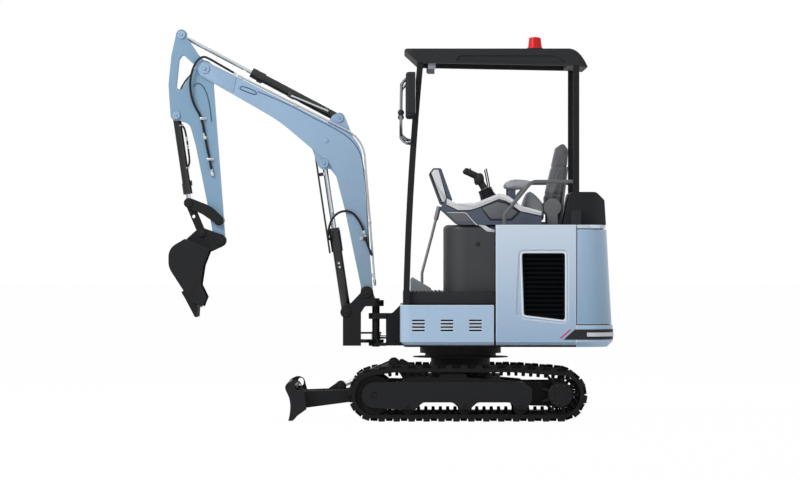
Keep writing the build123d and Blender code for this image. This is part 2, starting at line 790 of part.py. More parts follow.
# Each console has a tilted front grip, a long pod and an armrest on a post
def consoles():
    body = outline(
        [
            (-135, 1385),
            (-96, 1451),
            (-30, 1411),
            (96, 1418),
            (250, 1482),
            (307, 1464),
            (393, 1398),
            (525, 1365),
            (525, COVER_TOP_Z),
            (-20, COVER_TOP_Z),
        ],
        [14, 14, 40, 60, 30, 20, 60, 30, 0, 60],
    )
    grip = outline(
        [(-208, 1616), (-182, 1649), (-130, 1649), (-56, 1440), (-96, 1400), (-135, 1418)],
        [8, 10, 14, 0, 0, 10],
    )
    rest = outline(
        [(292, 1532), (312, 1566), (456, 1560), (456, 1542), (400, 1522), (312, 1522)],
        [12, 14, 8, 8, 20, 14],
    )
    pod = side(body, -345, -240) + side(grip, -330, -270)
    pod += side(rest, -330, -255) + block(308, 356, -308, -277, 1400, 1530)
    return [pod, other_side(pod)]


# A bent control lever with a leaning bellows at its foot
def levers():
    y = -292
    boot = Plane(origin=(196, y, 1452), z_dir=(-0.5, 0, 0.87)) * Cone(
        44, 18, 78, align=(Align.CENTER, Align.CENTER, Align.MIN)
    )
    grip = tube([(166, y, 1504), (112, y, 1598), (36, y, 1634)], 17, 36)
    grip += Pos(36, y, 1634) * Sphere(17)
    stick = boot + grip - consoles()[0]
    return [stick, other_side(stick)]


def travel_levers():
    path = [(-254, -70, DECK_TOP_Z), (-254, -70, 962), (-188, -70, 1213), (-142, -70, 1398)]
    lever = tube(path, 9, 60)
    lever += Plane(origin=(-152, -70, 1358), z_dir=(46, 0, 185)) * Cylinder(15, 90)
    pedal = outline(
        [(-330, DECK_TOP_Z), (-195, DECK_TOP_Z), (-195, 862), (-318, 935), (-330, 920)]
    )
    step = side(pedal, -210, -130)
    return [lever, other_side(lever), step, other_side(step)]


def canopy_posts(roof):
    front_left = ThreePointArc((-378, SKIRT_TOP_Z), (-347, 1550), (-284, 2360))
    front_right = ThreePointArc((-338, SKIRT_TOP_Z), (-307, 1550), (-244, 2360))
    face = make_face(
        [
            front_left,
            Line(front_left @ 1, front_right @ 1),
            front_right,
            Line(front_right @ 0, front_left @ 0),
        ]
    )
    front = side(face, POST_INNER_Y, POST_OUTER_Y) - roof
    rear = block(726, 766, POST_INNER_Y, POST_OUTER_Y, 1371, 2390) - roof
    return [front, rear, other_side(front), other_side(rear)]


def canopy_roof():
    half = ROOF_HALF_WIDTH
    shape = make_face(
        [
            Line((-370, 2414), (-360, ROOF_TOP_Z)),
            Line((-360, ROOF_TOP_Z), (680, ROOF_TOP_Z)),
            Spline((680, ROOF_TOP_Z), (756, 2401), (795, 2355), (822, 2305)),
            Line((822, 2305), (723, 2313)),
            Line((723, 2313), (-280, 2332)),
            Line((-280, 2332), (-370, 2414)),
        ]
    )
    roof = side(shape, -half, half)
    trim = outline([(-400, -half), (850, -half), (850, half), (-400, half)], 90)
    roof &= plan(trim, 2200, 2500)
    band = outline([(-43, 2342), (-10, 2378), (610, 2378), (700, 2330)], 8)
    roof -= pair(band, half - 8, half + 1)
    return roof - block(-250, 690, -400, 400, 2200, ROOF_TOP_Z - 24)


def beacon():
    lamp = upright(484, -250, 52, ROOF_TOP_Z, 2438)
    dome = Pos(484, -250, 2438) * Cone(46, 38, 70, align=(Align.CENTER, Align.CENTER, Align.MIN))
    return lamp + fillet(dome.edges().group_by(Axis.Z)[-1], 12)


# A rounded housing on a bent tube with a ball joint
def mirrors():
    y = POST_OUTER_Y + 78
    housing = block(-362, -300, y - 50, y + 50, 1992, 2269)
    housing = fillet(housing.edges().filter_by(Axis.X), 24)
    housing = fillet(housing.faces().sort_by(Axis.X)[0].outer_wire().edges(), 20)
    stem = tube(
        [
            (-320, POST_OUTER_Y - 4, 1827),
            (-352, POST_OUTER_Y + 46, 1828),
            (-394, y, 1862),
            (-390, y, 2190),
            (-350, y, 2232),
        ],
        9,
        18,
    )
    stem += Pos(-393, y, 2005) * Sphere(21)
    stem -= block(-400, -250, 400, POST_OUTER_Y, 1700, 1900)
    shape = housing + stem
    return [shape, other_side(shape)]


def work_lamps(roof):
    lamp = block(-216, -168, POST_INNER_Y - 17, POST_OUTER_Y - 12, 2292, 2345) - roof
    return [lamp, other_side(lamp)]


def rails():
    rail = tube(
        [
            (280, POST_Y, COVER_TOP_Z),
            (280, POST_Y, 1345),
            (446, POST_Y, 1548),
            (480, POST_Y, 1560),
            (726, POST_Y, 1560),
        ],
        12,
        25,
    )
    return [rail, other_side(rail)]


def rear_box():
    shape = outline(
        [(667, COVER_TOP_Z), (712, 1494), (880, 1494), (934, 1440), (944, COVER_TOP_Z)],
        [0, 30, 40, 30, 0],
    )
    below = COVER_TOP_Z - 1
    inner = outline([(690, below), (728, 1476), (874, 1476), (918, 1430), (926, below)])
    box = side(shape, -372, 372) - side(inner, -354, 354)
    pad = block(715, 778, 372, POST_OUTER_Y, COVER_TOP_Z, 1371)
    return box + pad + other_side(pad)


# Swing post: two plates with an arch beside the kingpin, and an arm above and below the bracket
def swing_post():
    plate = outline(
        [
            (POST_FRONT_X, HOUSE_BOTTOM_Z),
            (POST_REAR_X, HOUSE_BOTTOM_Z),
            (POST_REAR_X, 700),
            (-628, POST_ARMS[1][0]),
            (-560, POST_ARMS[1][0]),
            (-560, POST_ARMS[1][1]),
            (-577, 834),
            (-657, 834),
            (-723, 764),
            (POST_FRONT_X, 750),
        ],
        [10, 0, 20, 14, 0, 0, 0, 0, 20, 14],
    )
    plate += disc(BOOM_FOOT, 42)
    post = pair(plate, POST_PLATE_INNER, POST_PLATE_OUTER)
    post += block(POST_FRONT_X, POST_REAR_X, -80, 80, HOUSE_BOTTOM_Z, 640)
    edge = POST_PLATE_OUTER
    for low, high in POST_ARMS:
        arm_face = Pos(KINGPIN_X, 0) * Circle(POST_ARM_RADIUS)
        arm_face += outline(
            [
                (-690, -edge),
                (-620, -edge),
                (KINGPIN_X, -POST_ARM_RADIUS),
                (KINGPIN_X, POST_ARM_RADIUS),
                (-620, edge),
                (-690, edge),
            ]
        )
        post += plan(arm_face, low, high)
    post -= upright(KINGPIN_X, 0, KINGPIN_RADIUS + PIN_PLAY, 400, 900)
    post += across(BOOM_FOOT, 24, POST_PLATE_OUTER + 8)
    boss = disc(BOOM_CYL_BASE, 40)
    post += pair(boss, BOOM_CYL[0] + 5, POST_PLATE_INNER)
    post += across(BOOM_CYL_BASE, BOOM_CYL[3], POST_PLATE_OUTER + 8)
    lever = Pos(KINGPIN_X, SWING_LEVER) * Circle(36)
    lever += outline(
        [(-700, 90), (-640, 90), (KINGPIN_X + 30, 112), (KINGPIN_X - 20, 164), (-700, edge)]
    )
    low = SWING_CYL_Z - LEVER_FAR
    top = SWING_CYL_Z + LEVER_FAR
    post += plan(lever, low, low + SWING_EAR) + plan(lever, top - SWING_EAR, top)
    return post + upright(KINGPIN_X, SWING_LEVER, SWING_CYL[3], top, top + 10)


# Boom
BOOM_TOP_FRONT = (-1662, 2350)
BOOM_TOP_REAR = (-657, 1844)
BOOM_HEEL = (-577, 834)


def boom_face():
    shape = outline(
        [
            BOOM_TOP_FRONT,
            BOOM_TOP_REAR,
            BOOM_HEEL,
            (-657, 834),
            (-657, 876),
            (-762, 1378),
            (-835, 1660),
            (-1200, 1968),
            (-1719, 2266),
        ],
        [0, 210, 0, 0, 0, 0, 200, 900, 0],
    )
    return shape + disc(BOOM_TIP, 47) + disc(BOOM_FOOT, 42)


def boom():
    face = boom_face()
    body = side(face, -BOOM_HALF, BOOM_HALF)
    room = outline(
        [(-1900, 2600), (-500, 2600), (-500, 950), (-900, 950), (-900, 1500), (-1900, 1900)]
    )
    hollow = offset(face, -BOOM_PLATE) & room
    hollow -= disc(BOOM_TIP, 240)
    body -= side(hollow, BOOM_PLATE - BOOM_HALF, BOOM_HALF - BOOM_PLATE)
    body -= across(BOOM_TIP, 215, BOOM_HALF - BOOM_PLATE)
    body -= across(BOOM_CYL_ROD, 100, EAR_INNER - 1)
    rod_ear = outline(
        [(-985, 1800), (-940, 1668), (-858, 1648), (-790, 1560), (-790, 1720), (-880, 1800)],
        [0, 20, 30, 0, 0, 0],
    )
    rod_ear += disc(BOOM_CYL_ROD, 42)
    body += pair(rod_ear, EAR_INNER, EAR_OUTER)
    body += pair(disc(BOOM_CYL_ROD, BOOM_CYL[3]), EAR_OUTER, BOOM_HALF + 6)
    base_ear = outline(
        [(-880, 1945), (-838, 2010), (-765, 2000), (-705, 1850), (-860, 1900)], [0, 30, 30, 0, 0]
    )
    base_ear += disc(ARM_CYL_BASE, 38)
    body += pair(base_ear, EAR_INNER, EAR_OUTER)
    body += across(ARM_CYL_BASE, ARM_CYL[3], EAR_OUTER + 6)
    body -= across(BOOM_FOOT, 24 + PIN_PLAY, 200)
    return body + across(BOOM_TIP, BOOM_TIP_PIN, BOOM_HALF + 8)


def boom_pipes():
    pipes = Part()
    for y in (-63, -14, 14, 63):
        pipes += tube([(-1470, y, 2267), (-640, y, 1849), (-566, y, 912)], 6, 222)
    clamp = Box(26, 20, 2 * BOOM_HALF)
    for start, end, places in (
        (BOOM_TOP_FRONT, BOOM_TOP_REAR, (235, 640)),
        (BOOM_TOP_REAR, BOOM_HEEL, (210, 560, 900)),
    ):
        for place in places:
            pipes += between(start, end) * Pos(place, 10, 0) * clamp
    return pipes


def arm_face():
    shape = outline(
        [
            (-1872, 2546),
            (-1905, 2400),
            (-1925, 2203),
            (-1910, 1990),
            (-1850, 1965),
            (-1785, 1945),
            (-1746, 1807),
            (-1660, 1378),
            (-1623, 1177),
            (-1551, 1177),
            (-1568, 1411),
            (-1632, 2250),
            (-1640, 2320),
            (-1719, 2392),
            (-1806, 2516),
        ],
        [0, 200, 400, 0, 0, 60, 300, 0, 0, 0, 0, 0, 0, 60, 0],
    )
    for point, radius in (
        (ARM_CYL_ROD, 36),
        (BUCKET_CYL_BASE, 36),
        (BUCKET_PIVOT, 36),
        (BOOM_TIP, 54),
    ):
        shape += disc(point, radius)
    hole = outline(
        [(-1830, 2404), (-1744, 2325), (-1840, 2170), (-1874, 2182), (-1855, 2368)],
        [14, 16, 14, 14, 20],
    )
    return shape - hole


def arm():
    face = arm_face()
    body = side(face, -ARM_HALF, ARM_HALF)
    slot = outline(
        [
            (-2000, 1880),
            (-1815, 1880),
            (-1792, 2010),
            (-1774, 2130),
            (-1762, 2400),
            (-1676, 2600),
            (-2000, 2600),
        ]
    )
    body -= side(slot, -EAR_INNER, EAR_INNER)
    room = outline([(-1900, 1930), (-1500, 2230), (-1500, 1370), (-1900, 1370)])
    hollow = (offset(face, -ARM_PLATE) & room) - disc(BUCKET_CYL_BASE, 120)
    body -= side(hollow, ARM_PLATE - ARM_HALF, ARM_HALF - ARM_PLATE)
    body -= across(BOOM_TIP, BOOM_TIP_PIN + PIN_PLAY, 200)
    body -= across(BUCKET_PIVOT, BUCKET_PIN + PIN_PLAY, 200)
    body += pair(disc(ARM_CYL_ROD, ARM_CYL[3]), ARM_HALF - 4, ARM_HALF + 8)
    body += across(BUCKET_CYL_BASE, BUCKET_CYL[3], ARM_HALF + 8)
    body += pair(disc(ROCKER_PIVOT, 32), ARM_HALF - 2, ROCKER_INNER - 2)
    return body + across(ROCKER_PIVOT, ROCKER_PIN, ROCKER_OUTER + 6)


def rocker():
    shape = outline(
        [(-1807, 1396), (-1700, 1350), (-1612, 1288), (-1566, 1330), (-1640, 1400), (-1770, 1452)],
        [0, 150, 0, 0, 160, 0],
    )
    shape += disc(ROD_PIN, 33) + disc(ROCKER_PIVOT, 33)
    body = pair(shape, ROCKER_INNER, ROCKER_OUTER)
    body -= across(ROCKER_PIVOT, ROCKER_PIN + PIN_PLAY, 200)
    body += pair(disc(ROD_PIN, BUCKET_CYL[3]), LINK_OUTER + 2, ROCKER_INNER + 2)
    return body + pair(disc(ROD_PIN, BUCKET_CYL[3]), ROCKER_OUTER - 2, ROCKER_OUTER + 6)


def link():
    bar = outline([(-1812, 1414), (-1729, 1216), (-1683, 1236), (-1766, 1434)])
    bar += disc(ROD_PIN, 30) + disc(LINK_PIN, 30)
    bar -= disc((-1760, 1335), 12)
    body = pair(bar, LINK_INNER, LINK_OUTER)
    body += across(LINK_PIN, 30, LINK_OUTER)
    body -= across(LINK_PIN, LINK_BOLT + PIN_PLAY, 200)
    return body - across(ROD_PIN, BUCKET_CYL[3] + PIN_PLAY, 200)


def bucket_face():
    return outline(
        [
            (-1812, 1187),
            (-1917, 1125),
            (-1917, 1000),
            (-1820, 850),
            (-1762, 772),
            (-1739, 777),
            (-1709, 883),
            (-1690, 1010),
            (-1647, 1121),
        ],
        [0, 95, 125, 0, 0, 0, 0, 120, 0],
    )


def bucket():
    face = bucket_face()
    mouth = outline(
        [(-1690, 1122), (-1600, 1121), (-1640, 780), (-1744, 790), (-1730, 900), (-1712, 1020)]
    )
    cavity = offset(face, -BUCKET_SHEET) + mouth
    inside = BUCKET_HALF - BUCKET_SHEET
    shell = side(face, -BUCKET_HALF, BUCKET_HALF) - side(cavity, -inside, inside)
    cutter = outline([(-1712, 890), (-1670, 804), (-1696, 738), (-1760, 775), (-1730, 870)])
    shell += pair(cutter, BUCKET_HALF - 2, BUCKET_HALF + 12)
    ear = outline(
        [
            (-1812, 1180),
            (-1746, 1240),
            (-1706, 1262),
            (-1580, 1219),
            (-1570, 1138),
            (-1640, 1105),
            (-1700, 1120),
        ],
        [0, 20, 30, 0, 0, 0, 0],
    )
    ear += disc(BUCKET_PIVOT, 42)
    ear += disc(LINK_PIN, 36)
    shell += pair(ear, BUCKET_EAR_INNER, BUCKET_EAR_OUTER)
    shell += across(BUCKET_PIVOT, BUCKET_PIN, BUCKET_EAR_OUTER + 8)
    return shell + across(LINK_PIN, LINK_BOLT, BUCKET_EAR_OUTER + 8)


def bucket_teeth(shell):
    shape = outline(
        [(-1832, 838), (-1796, 868), (-1722, 782), (-1730, 672), (-1745, 676), (-1806, 792)],
        [0, 0, 10, 3, 3, 0],
    )
    return [side(shape, y - 24, y + 24) - shell for y in (-180, -60, 60, 180)]


# The rod's guard: a plate in front of the rod that slides over the barrel's head
def rod_guard(reach):
    plate = block(400, reach - 55, GUARD_GAP, GUARD_GAP + 6, -26, 26)
    plate = fillet(plate.edges().filter_by(Axis.Y), 16)
    return plate + block(reach - 78, reach - 58, 8, GUARD_GAP + 2, -14, 14)


def arm_hose():
    pipe = tube(ARM_HOSE, HOSE_RADIUS, HOSE_BEND)
    for x, z in ARM_CLIPS:
        pipe += block(x - 15, x + 15, -ARM_HALF - 26, -ARM_HALF, z - 12, z + 12)
    return pipe


def boom_hose():
    return tube(BOOM_HOSE, HOSE_RADIUS, HOSE_BEND)


def set_swing(shape):
    origin = (SWING_CYL_BASE_X, SWING_LEVER, SWING_CYL_Z)
    return Plane(origin=origin, x_dir=(-1, 0, 0), z_dir=(0, 0, 1)) * shape


os.makedirs("parts", exist_ok=True)

right_track = track()
save("track_right", right_track)
save("track_left", other_side(right_track))
for name, made in (
    ("track_frames", [track_frame()]),
    ("sprockets", sprocket()),
    ("final_drives", [final_drive()]),
    ("idlers", [idler()]),
    ("rollers", rollers()),
):
    save(name, *made, *[other_side(shape) for shape in made])
save("car_body", car_body())
save("slew_ring", slew_ring())

plate = blade_plate()
save("blade_plate", plate)
save("blade_arms", blade_arms(plate))

save("slew_race", slew_race())
save("house_frame", house_frame())
save("skirts", *skirts())
save("floor_deck", floor_deck())
left_cover = side_cover()
save("side_covers", left_cover, other_side(left_cover))
left_grille = grille()
save("grilles", left_grille, other_side(left_grille))
save("hood_hinges", *hood_hinges())
save("counterweight", counterweight())
save("lamp_strips", *lamp_strips())
save("tail_lamps", *tail_lamps())
save("bay_top", bay_top())
save("power_block", power_block())
save("rear_hood", rear_hood())
save("seat_base", seat_base())
save("seat_frame", seat_frame())
save("seat_cushion", seat_cushion())
save("seat_back", seat_back())
save("consoles", *consoles())
save("levers", *levers())
save("travel_levers", *travel_levers())
roof = canopy_roof()
save("canopy_roof", roof)
save("canopy_posts", *canopy_posts(roof))
save("beacon", beacon())
save("mirrors", *mirrors())
save("work_lamps", *work_lamps(roof))
save("rails", *rails())
save("rear_box", rear_box())

save("swing_post", swing_post())
save("boom", boom())
save("boom_pipes", boom_pipes())
save("arm", arm())
save("rocker", rocker())
save("link", link())
shell = bucket()
save("bucket", shell)
save("bucket_teeth", *bucket_teeth(shell))

for name, sizes, start, end in (
    ("boom_cylinder", BOOM_CYL, BOOM_CYL_BASE, BOOM_CYL_ROD),
    ("arm_cylinder", ARM_CYL, ARM_CYL_BASE, ARM_CYL_ROD),
    ("bucket_cylinder", BUCKET_CYL, BUCKET_CYL_BASE, ROD_PIN),
    ("blade_cylinder", BLADE_CYL, BLADE_CYL_BASE, BLADE_CYL_ROD),
):
    place = between(start, end)
    reach = math.dist(start, end)
    rod = piston_rod(sizes, reach)
    port_turn = 0
    if name == "boom_cylinder":
        rod += rod_guard(reach)
        port_turn = 45
    save(f"{name}_barrel", place * barrel(sizes, port_turn=port_turn))
    save(f"{name}_rod", place * rod)
save("arm_hose", arm_hose())
save("boom_hose", boom_hose())

swing_reach = SWING_CYL_BASE_X - KINGPIN_X
save("swing_cylinder_barrel", set_swing(barrel(SWING_CYL, SWING_EYE_HALF)))
save("swing_cylinder_rod", set_swing(piston_rod(SWING_CYL, swing_reach, SWING_EYE_HALF)))
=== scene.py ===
import math
import bmesh
import bpy
from mathutils import Matrix, Vector


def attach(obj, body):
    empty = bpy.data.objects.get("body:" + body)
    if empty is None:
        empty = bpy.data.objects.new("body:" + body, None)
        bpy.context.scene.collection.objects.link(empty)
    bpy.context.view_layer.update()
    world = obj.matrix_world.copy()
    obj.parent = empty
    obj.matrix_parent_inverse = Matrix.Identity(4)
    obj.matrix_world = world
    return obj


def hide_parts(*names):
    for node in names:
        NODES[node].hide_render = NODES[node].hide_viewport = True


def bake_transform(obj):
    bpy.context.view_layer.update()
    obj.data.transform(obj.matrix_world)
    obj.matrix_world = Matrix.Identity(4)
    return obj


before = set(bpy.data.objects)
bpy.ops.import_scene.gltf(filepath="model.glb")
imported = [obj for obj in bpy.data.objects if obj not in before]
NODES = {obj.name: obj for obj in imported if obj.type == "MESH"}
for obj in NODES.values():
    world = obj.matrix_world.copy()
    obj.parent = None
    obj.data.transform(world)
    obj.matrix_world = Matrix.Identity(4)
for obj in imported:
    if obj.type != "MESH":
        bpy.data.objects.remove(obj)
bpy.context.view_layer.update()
MM = 0.001
SHARP_ANGLE = 35

# Side view of the photograph: the machine faces -X, the camera looks along +Y
VIEW_CENTRE = (-0.399, 1.180)
VIEW_WIDTH = 5.28
CAMERA_DISTANCE = 30.0
SENSOR = 36.0
VIEW_DEPTH = 400
FLOOR_HALF = 90
FLOOR_GLOW = 0.98
SKY_LIGHT = 0.5
LAMP_SIZE = 4.0


# Colours are written as sRGB hex values
def linear(colour):
    parts = [int(colour[i:i + 2], 16) / 255 for i in (1, 3, 5)]
    return [p / 12.92 if p <= 0.04045 else ((p + 0.055) / 1.055) ** 2.4 for p in parts] + [1]


# Adds one node with its settings, its values and its links
def add(tree, kind, inputs=None, **settings):
    made = tree.nodes.new("ShaderNode" + kind)
    for name, value in settings.items():
        setattr(made, name, value)
    for key, value in (inputs or {}).items():
        if isinstance(value, bpy.types.NodeSocket):
            tree.links.new(value, made.inputs[key])
        else:
            made.inputs[key].default_value = value
    return made


# An empty material and its Object coordinates
def new_material(name):
    material = bpy.data.materials.new(name)
    material.use_nodes = True
    tree = material.node_tree
    tree.nodes.clear()
    place = add(tree, "TexCoord").outputs["Object"]
    return material, tree, place


# A pattern's scale, from the real size of one grain
def per_metre(size_mm):
    return 1000 / size_mm


# A coat or a moulded skin: its tone drifts over tone_mm and grain_mm gives the fine bump.
# Edges look rounded by edge_mm and may take a lighter tone of their own, a painted highlight.
# A deep tone, given with two heights, may take over towards the lower one as painted shade
def coat(
    name, colour, shade, roughness, tone_mm, grain_mm, grain_height_mm, edge_mm, shade_by_height=None, edge_highlight=None,
    **shader
):
    material, tree, place = new_material(name)
    tone = add(tree, "TexNoise", {"Vector": place, "Scale": per_metre(tone_mm), "Detail": 3.0})
    tint = add(
        tree, "Mix", {0: tone.outputs[0], 6: linear(colour), 7: linear(shade)}, data_type="RGBA"
    )
    # Painted shade: the deep tone takes over towards the lower height
    if shade_by_height:
        height = add(tree, "SeparateXYZ", {0: place})
        shade_fade = add(
            tree,
            "MapRange",
            {"Value": height.outputs[2], "From Min": shade_by_height[1] * MM, "From Max": shade_by_height[2] * MM},
        )
        tint = add(
            tree,
            "Mix",
            {0: shade_fade.outputs[0], 6: linear(shade_by_height[0]), 7: tint.outputs[2]},
            data_type="RGBA",
        )
    gloss = add(
        tree,
        "MapRange",
        {"Value": tone.outputs[0], "To Min": roughness - 0.06, "To Max": roughness + 0.06},
    )
    grain = add(tree, "TexNoise", {"Vector": place, "Scale": per_metre(grain_mm), "Detail": 2.0})
    rounded = add(tree, "Bevel", {"Radius": edge_mm * MM}, samples=4)
    # Painted highlight: the edges take a lighter tone of their own
    if edge_highlight:
        plain = add(tree, "NewGeometry")
        match = add(
            tree,
            "VectorMath",
            {0: rounded.outputs[0], 1: plain.outputs["Normal"]},
            operation="DOT_PRODUCT",
        )
        edge = add(
            tree,
            "MapRange",
            {
                "Value": match.outputs["Value"],
                "From Min": EDGE_FULL,
                "From Max": EDGE_NONE,
                "To Min": 1,
                "To Max": 0,
            },
        )
        tint = add(
            tree, "Mix", {0: edge.outputs[0], 6: tint.outputs[2], 7: linear(edge_highlight)}, data_type="RGBA"
        )
    bump = add(
        tree,
        "Bump",
        {
            "Height": grain.outputs[0],
            "Distance": grain_height_mm * MM,
            "Strength": 0.5,
            "Normal": rounded.outputs[0],
        },
    )
    values = {
        "Base Color": tint.outputs[2],
        "Roughness": gloss.outputs[0],
        "Normal": bump.outputs[0],
    }
    values.update(shader)
    surface = add(tree, "BsdfPrincipled", values)
    add(tree, "OutputMaterial", {"Surface": surface.outputs[0]})
    return material


# How far the rounded and the plain normal agree where an edge takes the full painted highlight and where
# it takes none
EDGE_FULL = 0.85
EDGE_NONE = 0.995

# Polyester powder coat on steel plate: a soft satin blue with a faint orange peel, darker towards the
# bottom as painted shade
BLUE_COAT = coat(
    "blue_powder_coat_painted_shade", "#97b2cd", "#8eaac7", 0.38, 420, 5, 0.05, 3.0, ("#7f98ad", 900, 1900),
    **{"Specular IOR Level": 0.4, "Coat Weight": 0.15, "Coat Roughness": 0.2},
)

# The same blue on moulded covers, smoother and a little lighter, with a near-white painted highlight
# along its edges
BLUE_COVER = coat(
    "blue_moulded_cover_painted_highlight", "#a9c3dc", "#a1bbd5", 0.32, 600, 8, 0.03, 12.0, edge_highlight="#eef5fc",
    **{"Specular IOR Level": 0.45, "Coat Weight": 0.25, "Coat Roughness": 0.15},
)

# The side covers: the same skin in a paler copy as a painted sheen, paler towards the top where it takes
# the light and darker towards the bottom, with a near-white painted highlight along its edges
SIDE_COVER_PAINTED_SHEEN = coat(
    "blue_cover_painted_sheen", "#cfdcea", "#c6d5e5", 0.3, 600, 8, 0.03, 12.0, ("#93b0cd", 484, 1330),
    "#f4f9ff",
    **{"Specular IOR Level": 0.45, "Coat Weight": 0.25, "Coat Roughness": 0.15},
)

# The rear hood's drawn sheet: the cover blue in a darker copy as painted shade, darker again towards the
# bottom, with a pale painted highlight along its edges
HOOD_PAINTED_SHADE_COVER = coat(
    "blue_hood_painted_shade", "#a3bfda", "#9ab7d3", 0.3, 600, 8, 0.03, 12.0, ("#86a5c2", 600, 1260),
    "#c9dcee",
    **{"Specular IOR Level": 0.45, "Coat Weight": 0.25, "Coat Roughness": 0.15},
)

# Black chassis paint: dull, slightly pebbled, a little grey where it drifts, with a grey painted
# highlight along its edges
BLACK_PAINT = coat(
    "black_chassis_paint", "#191a1c", "#121315", 0.55, 160, 4, 0.08, 2.5, edge_highlight="#3a3b3e",
    **{"Specular IOR Level": 0.22},
)

# Glossy black two-part paint on cylinder barrels
GLOSS_BLACK = coat(
    "black_gloss_paint", "#17181a", "#101113", 0.25, 120, 4, 0.02, 2.0,
    **{"Specular IOR Level": 0.4, "Coat Weight": 0.3, "Coat Roughness": 0.15},
)

# Black polypropylene moulding with a leather-like grain
BLACK_PLASTIC = coat(
    "black_grained_polypropylene", "#26272a", "#1f2023", 0.6, 300, 2.5, 0.12, 4.0,
    **{"Specular IOR Level": 0.25},
)

# The pedestal under the seat: the same moulding, smoother, in a greyer copy as a painted sheen, with a
# grey painted highlight along its edges
PEDESTAL_PAINTED_SHEEN = coat(
    "black_pedestal_painted_sheen", "#3f4042", "#353638", 0.45, 260, 2.5, 0.1, 4.0, edge_highlight="#5c5d5f",
    **{"Specular IOR Level": 0.35},
)

# Painted highlight round each grille: a near-white coat on the drawn edge, where it takes the light
RECESS_HIGHLIGHT = coat(
    "pale_blue_painted_highlight", "#eef4fa", "#e2ebf4", 0.25, 200, 8, 0.02, 2.0,
    **{"Specular IOR Level": 0.45, "Coat Weight": 0.25, "Coat Roughness": 0.15},
)

# Grey ABS trim, fine matt grain
GREY_PLASTIC = coat(
    "grey_abs_trim", "#8d9298", "#858a91", 0.45, 240, 2.0, 0.05, 3.0,
    **{"Specular IOR Level": 0.4},
)

# Blue-grey moulded console body, a fine spark-eroded grain
CONSOLE_PLASTIC = coat(
    "blue_grey_console_plastic", "#4d5566", "#434a5a", 0.42, 220, 2.0, 0.06, 5.0,
    **{"Specular IOR Level": 0.45},
)

# Silver lacquer over moulded trim: bright, with a soft metallic sheen
SILVER_TRIM = coat(
    "silver_lacquered_trim", "#d8dadd", "#c6c9ce", 0.22, 60, 1.5, 0.01, 3.0,
    **{"Metallic": 0.85, "Coat Weight": 0.3, "Coat Roughness": 0.12},
)

# Dark grey moulding for rails, panels and inserts: matt, with a soft grain
DARK_GREY = coat(
    "dark_grey_moulding", "#66686b", "#5c5e61", 0.5, 200, 2.5, 0.08, 3.0,
    **{"Specular IOR Level": 0.3},
)

# Braided hydraulic hose under a rubber skin
HOSE_RUBBER = coat(
    "hydraulic_hose_rubber", "#161617", "#101011", 0.5, 60, 2.0, 0.1, 1.0,
    **{"Specular IOR Level": 0.3},
)

# Black oxide on bolt heads and the hose strap: dark with a dull metal glint
BLACK_OXIDE = coat(
    "black_oxide_bolts", "#2a2b2d", "#1f2022", 0.38, 30, 2.0, 0.03, 0.8,
    **{"Metallic": 0.6},
)

# Silvered mirror glass: mirrors the studio's white
MIRROR_GLASS = coat(
    "silvered_mirror_glass", "#e6e9ec", "#dfe3e7", 0.06, 200, 8, 0.005, 1.0,
    **{"Metallic": 1.0},
)

# Cast vinyl film: a flat magenta red with a thin edge
RED_FILM = coat(
    "red_vinyl_film", "#d8235a", "#cf1f50", 0.3, 60, 4, 0.01, 0.4,
    **{"Specular IOR Level": 0.5},
)

# Painted steel tube: mid grey with a narrow highlight along it
STEEL_GREY = coat(
    "grey_painted_tube", "#85898e", "#7a7e83", 0.35, 160, 3, 0.03, 1.5,
    **{"Specular IOR Level": 0.45, "Metallic": 0.3},
)

# Moulded polypropylene seat shell: mid grey, finely grained
SEAT_SHELL = coat(
    "grey_seat_shell", "#7d7e80", "#717275", 0.45, 180, 2.5, 0.06, 4.0,
    **{"Specular IOR Level": 0.4},
)

# Light grey vinyl on armrests and bolsters: soft, with a fine leather grain
GREY_VINYL = coat(
    "grey_armrest_vinyl", "#a3a6aa", "#95989d", 0.5, 90, 3, 0.15, 4.0,
    **{"Specular IOR Level": 0.35},
)

# Painted shade along the seams of the blue coat: a dark blue where the plate edges cast their shadow
SEAM_SHADE = coat(
    "blue_painted_seam_shade", "#46607c", "#3e5771", 0.5, 80, 4, 0.1, 1.0,
    **{"Specular IOR Level": 0.3},
)

# Blackened grille steel: nearly no gloss, so the bars only just show
GRILLE_BLACK = coat(
    "blackened_grille_steel", "#06080b", "#040608", 0.8, 120, 3, 0.05, 0.6,
    **{"Specular IOR Level": 0.08},
)

# The arm's powder coat, a tone deeper than the boom's: a darker copy of the same paint as painted shade
ARM_PAINTED_SHADE_COAT = coat(
    "blue_arm_coat_painted_shade", "#7f9fb9", "#7797b2", 0.38, 420, 5, 0.05, 3.0,
    **{"Specular IOR Level": 0.4, "Coat Weight": 0.15, "Coat Roughness": 0.2},
)

# Vulcanised rubber: dull, with a fine mould grain
TRACK_RUBBER = coat(
    "track_rubber", "#1c1c1d", "#131314", 0.75, 120, 3.5, 0.15, 3.0,
    **{"Specular IOR Level": 0.15},
)

# Cast iron under black paint: coarse sand-cast skin
CAST_IRON = coat(
    "painted_cast_iron", "#17181a", "#101113", 0.6, 120, 6, 0.3, 3.0,
    **{"Specular IOR Level": 0.22},
)

# Hard chrome on a ground rod: bright with a fine lengthwise finish
HARD_CHROME = coat(
    "hard_chrome_rod", "#dadcdf", "#d3d5d8", 0.1, 200, 6, 0.002, 0.5,
    **{"Metallic": 1.0},
)

# Zinc plated steel: a pale, slightly cloudy metal
ZINC_STEEL = coat(
    "zinc_plated_steel", "#cfd3d6", "#bfc3c7", 0.34, 60, 3, 0.02, 0.8,
    **{"Metallic": 1.0},
)

